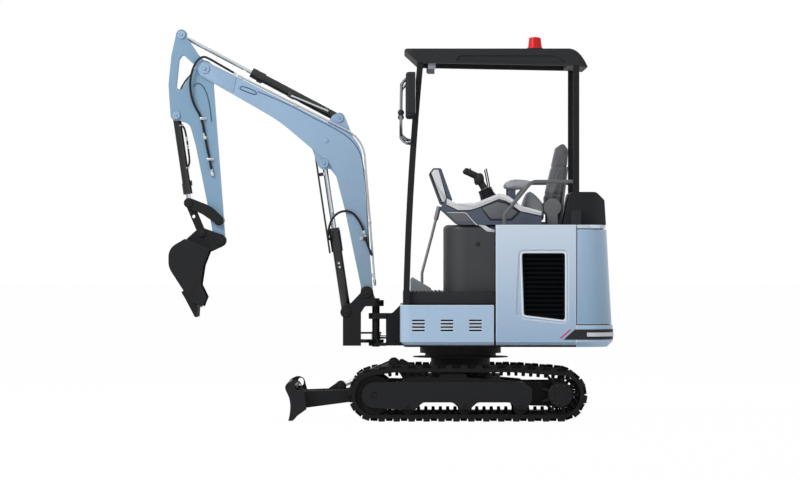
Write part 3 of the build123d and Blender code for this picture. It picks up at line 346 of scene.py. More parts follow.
# Seat vinyl: dark grey, soft grain
SEAT_VINYL = coat(
    "dark_grey_seat_vinyl", "#626366", "#57585b", 0.55, 140, 3, 0.2, 3.0,
    **{"Specular IOR Level": 0.3},
)

# Red polycarbonate lens: a clear red dome, evenly lit
RED_LENS = coat(
    "red_polycarbonate", "#ee1620", "#e2121b", 0.3, 80, 6, 0.02, 2.0,
    **{"Specular IOR Level": 0.25},
)

# Clear lens, seen as pale grey with gloss
CLEAR_LENS = coat(
    "clear_polycarbonate", "#d8dce0", "#c7ccd2", 0.15, 60, 6, 0.02, 1.5,
    **{"Specular IOR Level": 0.5, "Coat Weight": 0.5},
)

FINISH = {
    BLUE_COAT: ["boom"],
    ARM_PAINTED_SHADE_COAT: ["arm"],
    GRILLE_BLACK: ["grilles"],
    DARK_GREY: ["rails"],
    SEAT_SHELL: ["seat_frame"],
    GREY_PLASTIC: ["work_lamps"],
    STEEL_GREY: ["travel_levers"],
    BLUE_COVER: ["skirts", "counterweight"],
    SIDE_COVER_PAINTED_SHEEN: ["side_covers", "bay_top"],
    HOOD_PAINTED_SHADE_COVER: ["rear_hood"],
    BLACK_PAINT: [
        "car_body", "track_frames", "slew_ring", "slew_race", "blade_plate", "blade_arms",
        "house_frame", "canopy_posts", "swing_post", "rocker", "link", "bucket",
        "hood_hinges", "power_block",
    ],
    GLOSS_BLACK: [
        "boom_cylinder_barrel", "arm_cylinder_barrel", "bucket_cylinder_barrel",
        "blade_cylinder_barrel", "swing_cylinder_barrel",
    ],
    BLACK_PLASTIC: [
        "floor_deck", "canopy_roof", "rear_box", "mirrors", "levers",
        "lamp_strips",
    ],
    PEDESTAL_PAINTED_SHEEN: ["seat_base"],
    CONSOLE_PLASTIC: ["consoles"],
    TRACK_RUBBER: ["track_left", "track_right"],
    HOSE_RUBBER: ["arm_hose", "boom_hose"],
    CAST_IRON: ["sprockets", "final_drives", "idlers", "rollers", "bucket_teeth"],
    HARD_CHROME: [
        "boom_cylinder_rod", "arm_cylinder_rod", "bucket_cylinder_rod", "blade_cylinder_rod",
        "swing_cylinder_rod",
    ],
    ZINC_STEEL: ["boom_pipes"],
    SEAT_VINYL: ["seat_cushion", "seat_back"],
    RED_LENS: ["beacon"],
    CLEAR_LENS: ["tail_lamps"],
}
for material, names in FINISH.items():
    for name in names:
        for slot in NODES[name].material_slots:
            slot.material = material


# Pieces are built in millimetres in the machine's frame, then scaled and given to a body
def rounded(form, edge, segments=2):
    bmesh.ops.recalc_face_normals(form, faces=form.faces[:])
    bmesh.ops.bevel(
        form, geom=form.edges[:], offset=edge, offset_type="OFFSET", segments=segments,
        profile=0.5, affect="EDGES", material=-1, clamp_overlap=True,
    )
    return form


# A closed turned form: (radius, height) points from the axis back to the axis
def turned(profile, steps=24):
    form = bmesh.new()
    points = [form.verts.new((radius, 0, height)) for radius, height in profile]
    edges = [form.edges.new(ends) for ends in zip(points, points[1:])]
    bmesh.ops.spin(
        form, geom=points + edges, cent=(0, 0, 0), axis=(0, 0, 1), dvec=(0, 0, 0),
        angle=math.tau, steps=steps, use_merge=True,
    )
    bmesh.ops.remove_doubles(form, verts=form.verts[:], dist=0.01)
    return form


# Moves a form by a matrix
def moved(form, matrix):
    bmesh.ops.transform(form, matrix=matrix, verts=form.verts[:])
    return form


# Stands a form that was built along +Z at a point, facing a direction
def stood(form, point, direction):
    turn = Vector(direction).to_track_quat("Z", "Y").to_matrix().to_4x4()
    return moved(form, Matrix.Translation(point) @ turn)


# A sheet with a side outline, from one y to another
def plate(points, y0, y1, edge=1.2):
    form = bmesh.new()
    face = form.faces.new([form.verts.new((x, y0, z)) for x, z in points])
    made = bmesh.ops.extrude_face_region(form, geom=[face])
    lifted = [item for item in made["geom"] if isinstance(item, bmesh.types.BMVert)]
    bmesh.ops.translate(form, vec=(0, y1 - y0, 0), verts=lifted)
    return rounded(form, edge)


# A block between two corners with rounded edges
def bar(low, high, edge=2.0):
    form = bmesh.new()
    bmesh.ops.create_cube(form, size=1)
    bmesh.ops.scale(form, vec=[b - a for a, b in zip(low, high)], verts=form.verts[:])
    bmesh.ops.translate(form, vec=[(a + b) / 2 for a, b in zip(low, high)], verts=form.verts[:])
    return rounded(form, edge)


# A washer with a six-sided head
def bolt(point, direction, size):
    washer = turned([(0, -1), (size * 1.3, -1), (size * 1.3, size * 0.25), (0, size * 0.25)], 16)
    head = bmesh.new()
    bmesh.ops.create_cone(
        head, cap_ends=True, segments=6, radius1=size, radius2=size, depth=size * 0.9
    )
    bmesh.ops.translate(head, vec=(0, 0, size * 0.6), verts=head.verts[:])
    rounded(head, size * 0.1, 1)
    return [stood(washer, point, direction), stood(head, point, direction)]


# A smooth line through control points, as points or as a tube
def route(points, radius, closed=False, sides=3, steps=8):
    data = bpy.data.curves.new("route", "CURVE")
    data.dimensions = "3D"
    data.resolution_u = steps
    data.bevel_depth = radius
    data.bevel_resolution = sides
    data.use_fill_caps = True
    spline = data.splines.new("NURBS")
    spline.points.add(len(points) - 1)
    for spot, point in zip(spline.points, points):
        spot.co = (*point, 1)
    spline.use_cyclic_u = closed
    spline.order_u = 3
    spline.use_endpoint_u = not closed
    holder = bpy.data.objects.new("route", data)
    mesh = bpy.data.meshes.new_from_object(holder)
    form = bmesh.new()
    form.from_mesh(mesh)
    bpy.data.objects.remove(holder)
    bpy.data.curves.remove(data)
    bpy.data.meshes.remove(mesh)
    bmesh.ops.remove_doubles(form, verts=form.verts[:], dist=0.01)
    return form


# A wrap wound round a hose: the turns stand pitch apart
def winding(points, radius, pitch, cord):
    line = [vert.co.copy() for vert in route(points, 0).verts]
    turns = []
    length = 0
    for here, ahead in zip(line, line[1:]):
        along = (ahead - here).normalized()
        side = along.cross(Vector((0, 1, 0))).normalized()
        face = along.cross(side)
        count = max(2, round((ahead - here).length / pitch * 8))
        for step in range(count):
            share = step / count
            angle = (length + share * (ahead - here).length) / pitch * math.tau
            spread = side * math.cos(angle) + face * math.sin(angle)
            turns.append(here.lerp(ahead, share) + spread * radius)
        length += (ahead - here).length
    return route(turns, cord, sides=0, steps=1)


# Joins forms into one piece in metres, smooth but for its sharp edges
def mesh_of(name, forms, material):
    whole = bmesh.new()
    for form in forms:
        bmesh.ops.recalc_face_normals(form, faces=form.faces[:])
        holder = bpy.data.meshes.new("form")
        form.to_mesh(holder)
        form.free()
        whole.from_mesh(holder)
        bpy.data.meshes.remove(holder)
    bmesh.ops.scale(whole, vec=(MM, MM, MM), verts=whole.verts[:])
    for face in whole.faces:
        face.smooth = True
    mesh = bpy.data.meshes.new(name)
    whole.to_mesh(mesh)
    whole.free()
    mesh.set_sharp_from_angle(angle=math.radians(SHARP_ANGLE))
    mesh.materials.append(material)
    piece = bpy.data.objects.new(name, mesh)
    bpy.context.scene.collection.objects.link(piece)
    return piece


# A piece that rides on one body
def make_piece(name, forms, material, body):
    piece = mesh_of(name, forms, material)
    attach(piece, body)
    return piece


SIDES = (-1, 1)
BOOM_FACE = 70
ARM_FACE = 52
LEVER_Y = 292
MIRROR_Y = 550

# Pivot pins as (x, z, half length, radius), by the body that carries them
PINS = {
    "swing_post": [(-617, 834, 106, 24), (-752, 705, 106, 20)],
    "boom": [(-898, 1685, 76, 20), (-1686, 2309, 78, 25), (-799, 1982, 56, 18)],
    "arm": [(-1839, 2532, 60, 18), (-1874, 2002, 60, 18)],
    "rocker": [(-1789, 1424, 94, 18)],
    "bucket": [(-1587, 1177, 80, 22), (-1706, 1226, 80, 18)],
    "undercarriage": [(-399, 190, 226, 20), (-439, 368, 56, 18)],
    "blade": [(-789, 216, 58, 18)],
}


# A collared cap on each pin end, locked by a bolt
def pin_ends(name, body, pins, painted):
    caps = []
    bolts = []
    for x, z, half, radius in pins:
        lip = radius + 8
        profile = [
            (0, -2), (lip, -2), (lip, 2), (lip - 2, 4), (radius * 0.72, 4), (radius * 0.66, 2.5),
            (0, 2.5),
        ]
        for way in SIDES:
            caps.append(stood(turned(profile, 32), (x, way * half, z), (0, way, 0)))
            bolts += bolt((x, way * (half + 2.5), z), (0, way, 0), radius * 0.4)
    paint = BLUE_COAT if painted else BLACK_PAINT
    make_piece("pin_caps_" + name, caps + bolts, paint, body)


for body, pins in PINS.items():
    pin_ends(body, body, pins, body in ("boom", "arm"))
pin_ends("rocker_pivot", "arm", [(-1591, 1309, 94, 20)], False)


# Boom: weld lines along the top plate and a slot bead, dark blue as painted shade, a plug, and the
# fork's cheek plates
def boom_trim():
    weld = [
        (-1336, 2157), (-1147, 2082), (-973, 1985), (-824, 1913), (-723, 1847), (-657, 1754),
        (-637, 1642), (-619, 1444), (-610, 1246), (-598, 1080),
    ]
    slot = [(-1456, 2180), (-1440, 2196), (-1352, 2162), (-1342, 2142), (-1358, 2136), (-1446, 2170)]
    cheek = [
        (-1643, 2331), (-1476, 2254), (-1496, 2152), (-1706, 2268), (-1722, 2295), (-1718, 2325),
        (-1698, 2346), (-1668, 2347),
    ]
    seams = []
    forms = []
    for way in SIDES:
        seams.append(route([(x, way * BOOM_FACE, z) for x, z in weld], 3.0))
        seams.append(route([(x, way * BOOM_FACE, z) for x, z in slot], 3.6, closed=True))
        forms.append(plate(cheek, way * 69.5, way * 73.5))
        forms.append(stood(turned([(0, -2), (17, -2), (17, 3), (15, 5), (0, 5)]),
                           (-888, way * BOOM_FACE, 1834), (0, way, 0)))
    make_piece("boom_trim", forms, BLUE_COAT, "boom")
    # Weld lines and slot beads in the dark blue of the painted seam shade
    make_piece("boom_seam_shade", seams, SEAM_SHADE, "boom")


boom_trim()


# Arm: a bead round the boom's tip on each cheek, dark blue as painted shade, and the hose that shows in
# its window
def arm_trim():
    bead = [(-1760, 2190), (-1746, 2216), (-1700, 2204), (-1668, 2137), (-1648, 2038), (-1640, 1960)]
    forms = []
    for way in SIDES:
        forms.append(route([(x, way * ARM_FACE, z) for x, z in bead], 4.0))
    make_piece("arm_trim", forms, SEAM_SHADE, "arm")
    inner = [(-1742, -18, 2304), (-1790, -18, 2262), (-1838, -18, 2196), (-1868, -18, 2120)]
    make_piece("arm_inner_hose", [route(inner, 6)], HOSE_RUBBER, "arm")


arm_trim()

# Hoses as (x, y, z) points along each run
HOSE_RADIUS = 7.5
ARM_HOSE = [
    (-1484, -64, 2276), (-1580, -76, 2330), (-1650, -86, 2372), (-1700, -88, 2392),
    (-1754, -86, 2340), (-1786, -80, 2220), (-1768, -70, 2090), (-1704, -63, 1985),
    (-1682, -62, 1850), (-1652, -62, 1700), (-1634, -62, 1609),
]
BOOM_HOSE = [
    (-854.2, -30.3, 1185.1), (-873.8, -50.1, 1182.2), (-873, -68, 1220), (-864, -82, 1272),
    (-849, -87, 1315), (-826, -88, 1344), (-794, -88, 1365), (-750, -88, 1373), (-709, -88, 1358),
    (-681, -88, 1326), (-660, -88, 1291), (-644, -89, 1258), (-634, -89, 1222), (-629, -89, 1202),
]
BOOM_HOSE_TAIL = [
    (-631, -89, 1208), (-622, -89, 1176), (-609, -89, 1140), (-594, -85, 1104), (-583, -68, 1080),
]


def hoses():
    arm = mesh_of("arm_hose_tube", [
        route(ARM_HOSE, HOSE_RADIUS, sides=4), winding(ARM_HOSE, HOSE_RADIUS, 11, 1.6),
    ], HOSE_RUBBER)
    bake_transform(arm)
    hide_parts("arm_hose")
    boom = mesh_of("boom_hose_tube", [
        route(BOOM_HOSE, HOSE_RADIUS, sides=4), winding(BOOM_HOSE[3:], HOSE_RADIUS, 13, 1.4),
    ], HOSE_RUBBER)
    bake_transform(boom)
    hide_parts("boom_hose")
    tail = [route(BOOM_HOSE_TAIL, HOSE_RADIUS, sides=4)]
    make_piece("boom_hose_tail", tail, HOSE_RUBBER, "boom")


hoses()


# Clips and end fittings of the hoses, zinc plated, and the strap on the boom's side
def hose_fittings():
    clips = []
    for x, z in ((-1702, 1980), (-1654, 1712)):
        clips.append(bar((x - 15, -74, z - 9), (x + 15, -52, z + 9), 3))
        clips += bolt((x + 22, -56, z), (0, -1, 0), 5)
        clips.append(bar((x + 8, -57, z - 8), (x + 32, -52, z + 8), 2))
    sleeve = [(0, -2), (10.5, -2), (10.5, 16), (8.5, 20), (8.5, 40), (0, 40)]
    clips.append(stood(turned(sleeve, 6), (-1634, -62, 1605), (-0.17, 0, 0.985)))
    clips.append(stood(turned(sleeve, 6), (-1682, -62, 1846), (-0.2, 0, 0.98)))
    make_piece("arm_hose_clips", clips, ZINC_STEEL, "arm")
    ends = [stood(turned(sleeve, 6), (-1478, -62, 2272), (-0.85, -0.1, 0.48))]
    make_piece("boom_tip_fitting", ends, ZINC_STEEL, "boom")
    down = (0.24, 0, -0.97)
    saddle = [stood(turned(sleeve, 6), (-638, -89, 1240), down)]
    saddle.append(bar((-662, -75, 1178), (-636, -69, 1200), 2))
    saddle += bolt((-656, -75, 1189), (0, -1, 0), 8)
    make_piece("boom_hose_fittings", saddle, ZINC_STEEL, "boom")
    strap = [bar((-641, -100, 1176), (-613, -70, 1200), 5)]
    make_piece("boom_hose_strap", strap, BLACK_OXIDE, "boom")


hose_fittings()


PIPE_ROWS = (-63, -14, 14, 63)


# Pipes on the boom's back: a union in each run and a swaged end at the foot
def pipe_unions():
    fall = (0.079, 0, -0.997)
    nut = [(0, -12), (9, -12), (10, -10), (10, 10), (9, 12), (0, 12)]
    swage = [(0, -2), (9, -2), (9, 18), (7.5, 21), (7.5, 38), (0, 38)]
    forms = []
    for y in PIPE_ROWS:
        forms.append(stood(turned(nut, 6), (-596.7, y, 1301), fall))
        forms.append(stood(turned(swage, 16), (-566.4, y, 916), fall))
    make_piece("boom_pipe_unions", forms, ZINC_STEEL, "boom")


pipe_unions()


# Turns a form built along a cylinder's axis into the machine's frame
def on_cylinder(forms, base, rod):
    along = Vector((rod[0] - base[0], 0, rod[1] - base[1])).normalized()
    across = along.cross(Vector((0, 1, 0)))
    turn = Matrix((along, (0, 1, 0), across)).transposed().to_4x4()
    return [moved(form, Matrix.Translation((base[0], 0, base[1])) @ turn) for form in forms]


# Head sleeve of a cylinder between two lengths, with a wiper lip
def head_sleeve(start, end, radius):
    lip = [
        (0, start), (radius, start), (radius, end - 14), (radius - 2, end - 12), (radius - 2, end - 4),
        (radius - 5, end), (0, end),
    ]
    return stood(turned(lip, 32), (0, 0, 0), (1, 0, 0))


# A pipe union: two nuts with a neck between them
def union(x, y, z, direction, size=7):
    shape = [
        (0, -2), (size, -2), (size, 8), (size * 0.7, 10), (size * 0.7, 13), (size, 15), (size, 24),
        (0, 24),
    ]
    return stood(turned(shape, 6), (x, y, z), direction)


BOOM_CYLINDER = ((-752, 705), (-898, 1685))
ARM_CYLINDER = ((-799, 1982), (-1839, 2532))
BUCKET_CYLINDER = ((-1874, 2002), (-1789, 1424))


# Feed pipes, port blocks and unions along the barrels
def cylinder_trim():
    arm_pipe = [(92, -30, -8), (92, -42, -8), (110, -46, -6), (330, -46, 14), (346, -44, 16),
                (346, -30, 16)]
    pipes = [route(arm_pipe, 6), union(92, -28, -8, (0, -1, 0)), union(346, -26, 16, (0, -1, 0))]
    make_piece("arm_cylinder_pipe", on_cylinder(pipes, *ARM_CYLINDER), ZINC_STEEL, "arm_barrel")
    blocks = [bar((326, -38, -4), (372, -24, 34), 3), head_sleeve(560, 652, 35),
              bar((74, -36, -24), (112, -24, 10), 3)]
    make_piece("arm_cylinder_blocks", on_cylinder(blocks, *ARM_CYLINDER), GLOSS_BLACK, "arm_barrel")
    fittings = [union(300, -27, 0, (0, -1, 0), 8), union(326, -27, 2, (0, -1, 0), 8)]
    make_piece("boom_cylinder_unions", on_cylinder(fittings, *BOOM_CYLINDER), ZINC_STEEL,
               "boom_barrel")
    sleeve = [head_sleeve(404, 558, 38), bar((288, -36, -16), (340, -24, 18), 3)]
    make_piece("boom_cylinder_sleeve", on_cylinder(sleeve, *BOOM_CYLINDER), GLOSS_BLACK,
               "boom_barrel")
    loop = [(70, -20, 22), (80, -24, 40), (150, -30, 46), (250, -30, 46), (330, -26, 42),
            (352, -18, 24)]
    hose = [route(loop, 6.5), winding(loop[1:-1], 6.5, 12, 1.3)]
    make_piece("bucket_cylinder_hose", on_cylinder(hose, *BUCKET_CYLINDER), HOSE_RUBBER,
               "bucket_barrel")
    ends = [union(70, -19, 12, (0, -0.2, 1)), union(352, -17, 12, (0, -0.2, 1))]
    ends += [union(152, -30, 46, (1, 0, 0), 9), union(206, -30, 46, (1, 0, 0), 9)]
    make_piece("bucket_cylinder_unions", on_cylinder(ends, *BUCKET_CYLINDER), ZINC_STEEL,
               "bucket_barrel")
    head = [head_sleeve(450, 523, 31)]
    make_piece("bucket_cylinder_sleeve", on_cylinder(head, *BUCKET_CYLINDER), GLOSS_BLACK,
               "bucket_barrel")


cylinder_trim()


# Black sheath over the boom rod's guard plate and its bracket
def guard_sheath():
    forms = [bar((399, -27, 45), (1040, 27, 57), 2), bar((911, -15, 16), (934, 15, 50), 2)]
    make_piece("rod_guard_sheath", on_cylinder(forms, *BOOM_CYLINDER), GLOSS_BLACK, "boom_rod")


guard_sheath()


# Side covers: a pale bead round each grille as a painted highlight, woven wire behind its bars with a
# black sheet behind the wire as painted shade, a red slash
def cover_trim():
    rim = [
        (386, 1070), (386, 1101), (420, 1101), (646, 1101), (680, 1101), (680, 1070), (680, 690),
        (680, 651), (650, 655), (430, 681), (398, 685), (397, 715),
    ]
    nets = []
    slashes = []
    rims = []
    for way in SIDES:
        net = bmesh.new()
        bmesh.ops.create_grid(net, x_segments=20, y_segments=30, size=0.5)
        bmesh.ops.scale(net, vec=(300, 440, 1), verts=net.verts[:])
        bmesh.ops.wireframe(
            net, faces=net.faces[:], thickness=2.4, use_replace=True, use_even_offset=True,
            use_boundary=True,
        )
        turn = Matrix.Rotation(math.radians(90), 4, "X")
        nets.append(moved(net, Matrix.Translation((534, way * 452, 877)) @ turn))
        # A black sheet behind the wire: painted shade for the dark bay inside
        nets.append(bar((382, way * 448 - 2, 652), (686, way * 448 + 2, 1100), 1))
        slash = [(634, 540), (648, 540), (716, 599), (702, 599)]
        slashes.append(plate(slash, way * 489.5, way * 490.8, 0.3))
        # Pale bead on the recess edge: a painted highlight
        rims.append(route([(x, way * 483, z) for x, z in rim], 5, closed=True))
    make_piece("grille_highlight_beads", rims, RECESS_HIGHLIGHT, "house")
    make_piece("grille_nets_and_shade_sheets", nets, GRILLE_BLACK, "house")
    make_piece("cover_slashes", slashes, RED_FILM, "house")


cover_trim()


# A sheet lying flat, from one height to another
def slab(points, z0, z1, edge=1.0):
    turn = Matrix.Rotation(math.radians(90), 4, "X")
    return moved(plate([(x, -y) for x, y in points], z0, z1, edge), turn)


# Rubber seals that close the seams round the rear hood
def hood_seals():
    lid = [(748, -474), (790, -474), (870, -430), (915, -370), (930, -300), (930, 300), (915, 370),
           (870, 430), (790, 474), (748, 474)]
    seals = [slab(lid, 1249.6, 1256), slab(lid, 625, 631.4)]
    for way in SIDES:
        seals.append(bar((743, way * 476 - 6, 632), (751.4, way * 476 + 6, 1250), 1))
    make_piece("hood_seals", seals, TRACK_RUBBER, "house")


hood_seals()


# Consoles: silver edge trim, bead and strip, a dark six-sided insert with a rim, a front panel
def console_trim():
    top = [(-92, 1452), (-30, 1418), (96, 1424), (250, 1486), (309, 1468), (395, 1402), (524, 1368)]
    low = [(524, 1338), (386, 1368), (296, 1434), (246, 1448), (112, 1392), (60, 1376), (-20, 1374),
           (-96, 1412)]
    apron = [(-84, 1354), (30, 1354), (70, 1299), (-35, 1299)]
    bead = [(-88, 1358), (-40, 1358), (34, 1358), (44, 1340), (90, 1289), (104, 1276)]
    strip = [(89, 1292), (129, 1266), (168, 1236), (220, 1230), (220, 1246), (182, 1259), (135, 1292)]
    insert = [(126, 1394), (234, 1438), (300, 1424), (384, 1362), (330, 1308), (186, 1308)]
    panel = [(136, 1390), (234, 1428), (294, 1416), (368, 1360), (324, 1318), (194, 1318)]
    tube_front = [(-206, 1616), (-182, 1647), (-150, 1647), (-84, 1440), (-102, 1410), (-128, 1422)]
    tube_edge = [(-196, 1618), (-178, 1640), (-148, 1640), (-94, 1446), (-108, 1424), (-124, 1430)]
    silver = []
    rims = []
    inserts = []
    for way in SIDES:
        silver.append(plate(top + low, way * 344, way * 348, 1.5))
        silver.append(plate(tube_edge, way * 329, way * 333, 1.5))
        rims.append(plate(top + [(x, z - 7) for x, z in low], way * 343, way * 346, 1.0))
        rims.append(plate(insert, way * 344, way * 349, 1.5))
        rims.append(plate(tube_front, way * 329, way * 331, 1.0))
        inserts.append(plate(panel, way * 346, way * 351, 2))
        inserts.append(plate(apron, way * 344, way * 347, 1.5))
        silver.append(route([(x, way * 347, z) for x, z in bead], 3.5))
        silver.append(plate(strip, way * 329, way * 333, 1.5))
    make_piece("console_silver", silver, SILVER_TRIM, "house")
    make_piece("console_rims", rims, BLACK_PLASTIC, "house")
    make_piece("console_inserts", inserts, DARK_GREY, "house")


console_trim()


# Control levers: bellows rings round the boot, a hand grip, a switch stalk, collars and buttons
def lever_trim():
    rings = []
    buttons = []
    grips = []
    lean = Vector((-0.498, 0, 0.867))
    boot_lean = Vector((-0.36, 0, 0.933))
    for way in SIDES:
        foot = Vector((188, way * LEVER_Y, 1444))
        for step in range(6):
            radius = 47 - 1.2 * step
            ring = turned([(0, 0), (radius - 5, 0), (radius, 4), (radius, 9), (radius - 5, 13), (0, 13)])
            rings.append(stood(ring, foot + boot_lean * (13 * step), boot_lean))
        thumb = turned([(0, 0), (8, 0), (8, 6), (6, 9), (0, 9)], 16)
        buttons.append(stood(thumb, (60, way * LEVER_Y, 1640), (-0.3, 0, 0.95)))
        trigger = turned([(0, 0), (7, 0), (7, 5), (5, 8), (0, 8)], 16)
        buttons.append(stood(trigger, (104, way * LEVER_Y, 1584), (-0.85, 0, -0.5)))
        knob = turned([(0, 0), (20, 0), (27, 12), (29, 40), (22, 62), (10, 70), (0, 71)], 24)
        grips.append(stood(knob, (126, way * LEVER_Y, 1548), (-0.12, 0, 1)))
        switch = [(190, way * LEVER_Y, 1500), (184, way * LEVER_Y, 1560), (164, way * LEVER_Y, 1648)]
        grips.append(route(switch, 4.5))
        collar = turned([(0, -6), (21, -6), (21, 4), (19, 6), (0, 6)], 24)
        buttons.append(stood(collar, (160, way * LEVER_Y, 1514), lean))
    make_piece("lever_bellows", rings + grips, HOSE_RUBBER, "house")
    make_piece("lever_buttons", buttons, GREY_PLASTIC, "house")


lever_trim()


# Mirror glass and stems, lamp bezels, the beacon's foot, a plug in the pedestal
def small_fittings():
    glass = []
    bezels = []
    for way in SIDES:
        glass.append(bar((-301, way * MIRROR_Y - 42, 2002), (-298, way * MIRROR_Y + 42, 2259), 1.2))
        bezel = turned([(0, 0), (21, 0), (21, 4), (18, 6), (15, 3), (0, 3)], 32)
        bezels.append(stood(bezel, (-216, way * 437, 2318), (-1, 0, 0)))
    make_piece("mirror_glass", glass, MIRROR_GLASS, "house")
    stems = []
    for way in SIDES:
        stem = [(-334, way * 494, 1827), (-352, way * 518, 1828), (-386, way * 543, 1850),
                (-394, way * MIRROR_Y, 1880), (-391, way * MIRROR_Y, 2170), (-386, way * MIRROR_Y, 2200),
                (-362, way * MIRROR_Y, 2222)]
        stems.append(route(stem, 10))
    make_piece("mirror_stems", stems, STEEL_GREY, "house")
    foot = turned([(0, 0), (55, 0), (55, 8), (51, 13), (0, 13)], 40)
    bezels.append(stood(foot, (484, -250, 2424), (0, 0, 1)))
    plug = turned([(0, -2), (15, -2), (15, 3), (12, 5), (0, 5)], 24)
    bezels.append(stood(plug, (109, -330, 1154), (0, -1, 0)))
    make_piece("bezels", bezels, BLACK_PLASTIC, "house")


small_fittings()


# Bolt circles on the wheel hubs and the slew ring
def bolt_circle(centre, radius, count, way, size):
    forms = []
    for turn in range(count):
        angle = (turn + 0.5) * math.tau / count
        place = (centre[0] + radius * math.cos(angle), centre[1], centre[2] + radius * math.sin(angle))
        forms += bolt(place, (0, way, 0), size)
    return forms


def bolts():
    wheels = []
    for way in SIDES:
        wheels += bolt_circle((647, way * 453, 172), 62, 8, way, 7)
    make_piece("hub_bolts", wheels, BLACK_OXIDE, "undercarriage")
    ring = []
    for turn in range(24):
        angle = turn * math.tau / 24
        ring += bolt((250 * math.cos(angle), 250 * math.sin(angle), 484), (0, 0, -1), 8)
    make_piece("ring_bolts", ring, BLACK_OXIDE, "house")


bolts()


# Ribbed rubber mat on the floor
def floor_mat():
    ribs = []
    for step in range(9):
        x = -345 + step * 25
        ribs.append(bar((x, -400, 842), (x + 11, 400, 847), 1.5))
    make_piece("floor_mat", ribs, TRACK_RUBBER, "house")


floor_mat()


CLOTH_FRAMES = 20
CLOTH_PRESSURE = 4
SEAT_GRID = 6
SEAT_RISE = 14
SEAM_DEPTH = 5
SEAM_WIDTH = 8


# A stuffed part: a plain shape scaled by keep, remeshed and blown up as cloth
def swollen(pad, keep, voxel_mm, cap_mm):
    shape = bmesh.new()
    shape.from_mesh(pad.data)
    bmesh.ops.remove_doubles(shape, verts=shape.verts[:], dist=0.0001)
    corners = [vert.co for vert in shape.verts]
    middle = Vector([(min(c[i] for c in corners) + max(c[i] for c in corners)) / 2 for i in range(3)])
    for vert in shape.verts:
        vert.co = middle + (vert.co - middle) * Vector(keep)
    bmesh.ops.recalc_face_normals(shape, faces=shape.faces[:])
    shape.to_mesh(pad.data)
    shape.free()
    remesh = pad.modifiers.new("remesh", "REMESH")
    remesh.mode = "VOXEL"
    remesh.voxel_size = voxel_mm * MM
    bake(pad)
    inflate(pad, cap_mm)


# Puts what the modifiers make into the mesh and takes the modifiers off
def bake(piece):
    bpy.context.view_layer.update()
    seen = piece.evaluated_get(bpy.context.evaluated_depsgraph_get())
    made = bpy.data.meshes.new_from_object(seen)
    piece.modifiers.clear()
    piece.data = made


# Runs the cloth under pressure and holds each point within cap_mm of where it started
def inflate(pad, cap_mm):
    before = [vert.co.copy() for vert in pad.data.vertices]
    cloth = pad.modifiers.new("cloth", "CLOTH")
    cloth.settings.use_pressure = True
    cloth.settings.uniform_pressure_force = CLOTH_PRESSURE
    cloth.settings.effector_weights.gravity = 0
    cloth.point_cache.frame_start = 1
    cloth.point_cache.frame_end = CLOTH_FRAMES
    for step in range(1, CLOTH_FRAMES + 1):
        bpy.context.scene.frame_set(step)
    bake(pad)
    bpy.context.scene.frame_set(1)
    for vert, start in zip(pad.data.vertices, before):
        shift = vert.co - start
        if shift.length > cap_mm * MM:
            vert.co = start + shift.normalized() * cap_mm * MM


# Draws a pad in along sewn lines: each is an axis and a place along it
def sewn(pad, seams, depth_mm, width_mm):
    outward = [vert.normal.copy() for vert in pad.data.vertices]
    for vert, normal in zip(pad.data.vertices, outward):
        pull = 0.0
        for axis, place in seams:
            gap = (vert.co[axis] - place * MM) / (width_mm * MM)
            pull = max(pull, math.exp(-gap * gap))
        vert.co -= normal * (pull * depth_mm * MM)


# Smooths a pad, dresses it and fixes it to the house
def finish_pad(pad, material):
    smooth = pad.modifiers.new("smooth", "SUBSURF")
    smooth.levels = 1
    smooth.render_levels = 1
    bake(pad)
    for face in pad.data.polygons:
        face.use_smooth = True
    pad.data.materials.clear()
    pad.data.materials.append(material)
    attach(pad, "house")


# Cushion and backrest, each blown up from its own plain block and drawn in at its seams
def seat_pad(name, node, keep, seams):
    pad = bpy.data.objects.new(name, NODES[node].data.copy())
    bpy.context.scene.collection.objects.link(pad)
    swollen(pad, keep, SEAT_GRID, SEAT_RISE)
    sewn(pad, seams, SEAM_DEPTH, SEAM_WIDTH)
    finish_pad(pad, SEAT_VINYL)
    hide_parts(node)


seat_pad("seat_cushion_pad", "seat_cushion", (0.965, 0.95, 0.86), [(1, -120), (1, 120), (0, 180)])
seat_pad("seat_back_pad", "seat_back", (0.9, 0.94, 0.97),
         [(1, -120), (1, 120), (2, 1480), (2, 1660)])


# Armrests on the consoles and bolsters at the cushion's sides, blown up from their profiles
def side_pads():
    rest = [(286, 1532), (296, 1556), (318, 1570), (440, 1568), (464, 1556), (462, 1540), (404, 1518),
            (308, 1518)]
    bolster = [(400, 1396), (420, 1462), (444, 1506), (466, 1498), (538, 1426), (548, 1384),
               (548, 1330), (400, 1330)]
    for way, side in zip(SIDES, ("left", "right")):
        pad = mesh_of("armrest_pad_" + side, [plate(rest, way * 335, way * 251, 9)], GREY_VINYL)
        swollen(pad, (1.0, 1.04, 1.06), 4, 5)
        finish_pad(pad, GREY_VINYL)
        pad = mesh_of("seat_bolster_" + side, [plate(bolster, way * 150, way * 216, 14)], GREY_VINYL)
        swollen(pad, (0.94, 0.86, 0.95), 5, 8)
        finish_pad(pad, GREY_VINYL)


side_pads()


# Camera: a long lens, so the far side hides behind the near one as in the photograph
def make_camera():
    data = bpy.data.cameras.new("camera")
    data.sensor_width = SENSOR
    data.lens = SENSOR * CAMERA_DISTANCE / VIEW_WIDTH
    data.clip_end = VIEW_DEPTH
    camera = bpy.data.objects.new("camera", data)
    camera.location = (VIEW_CENTRE[0], -CAMERA_DISTANCE, VIEW_CENTRE[1])
    camera.rotation_euler = (math.radians(90), 0, 0)
    bpy.context.scene.collection.objects.link(camera)
    bpy.context.scene.camera = camera


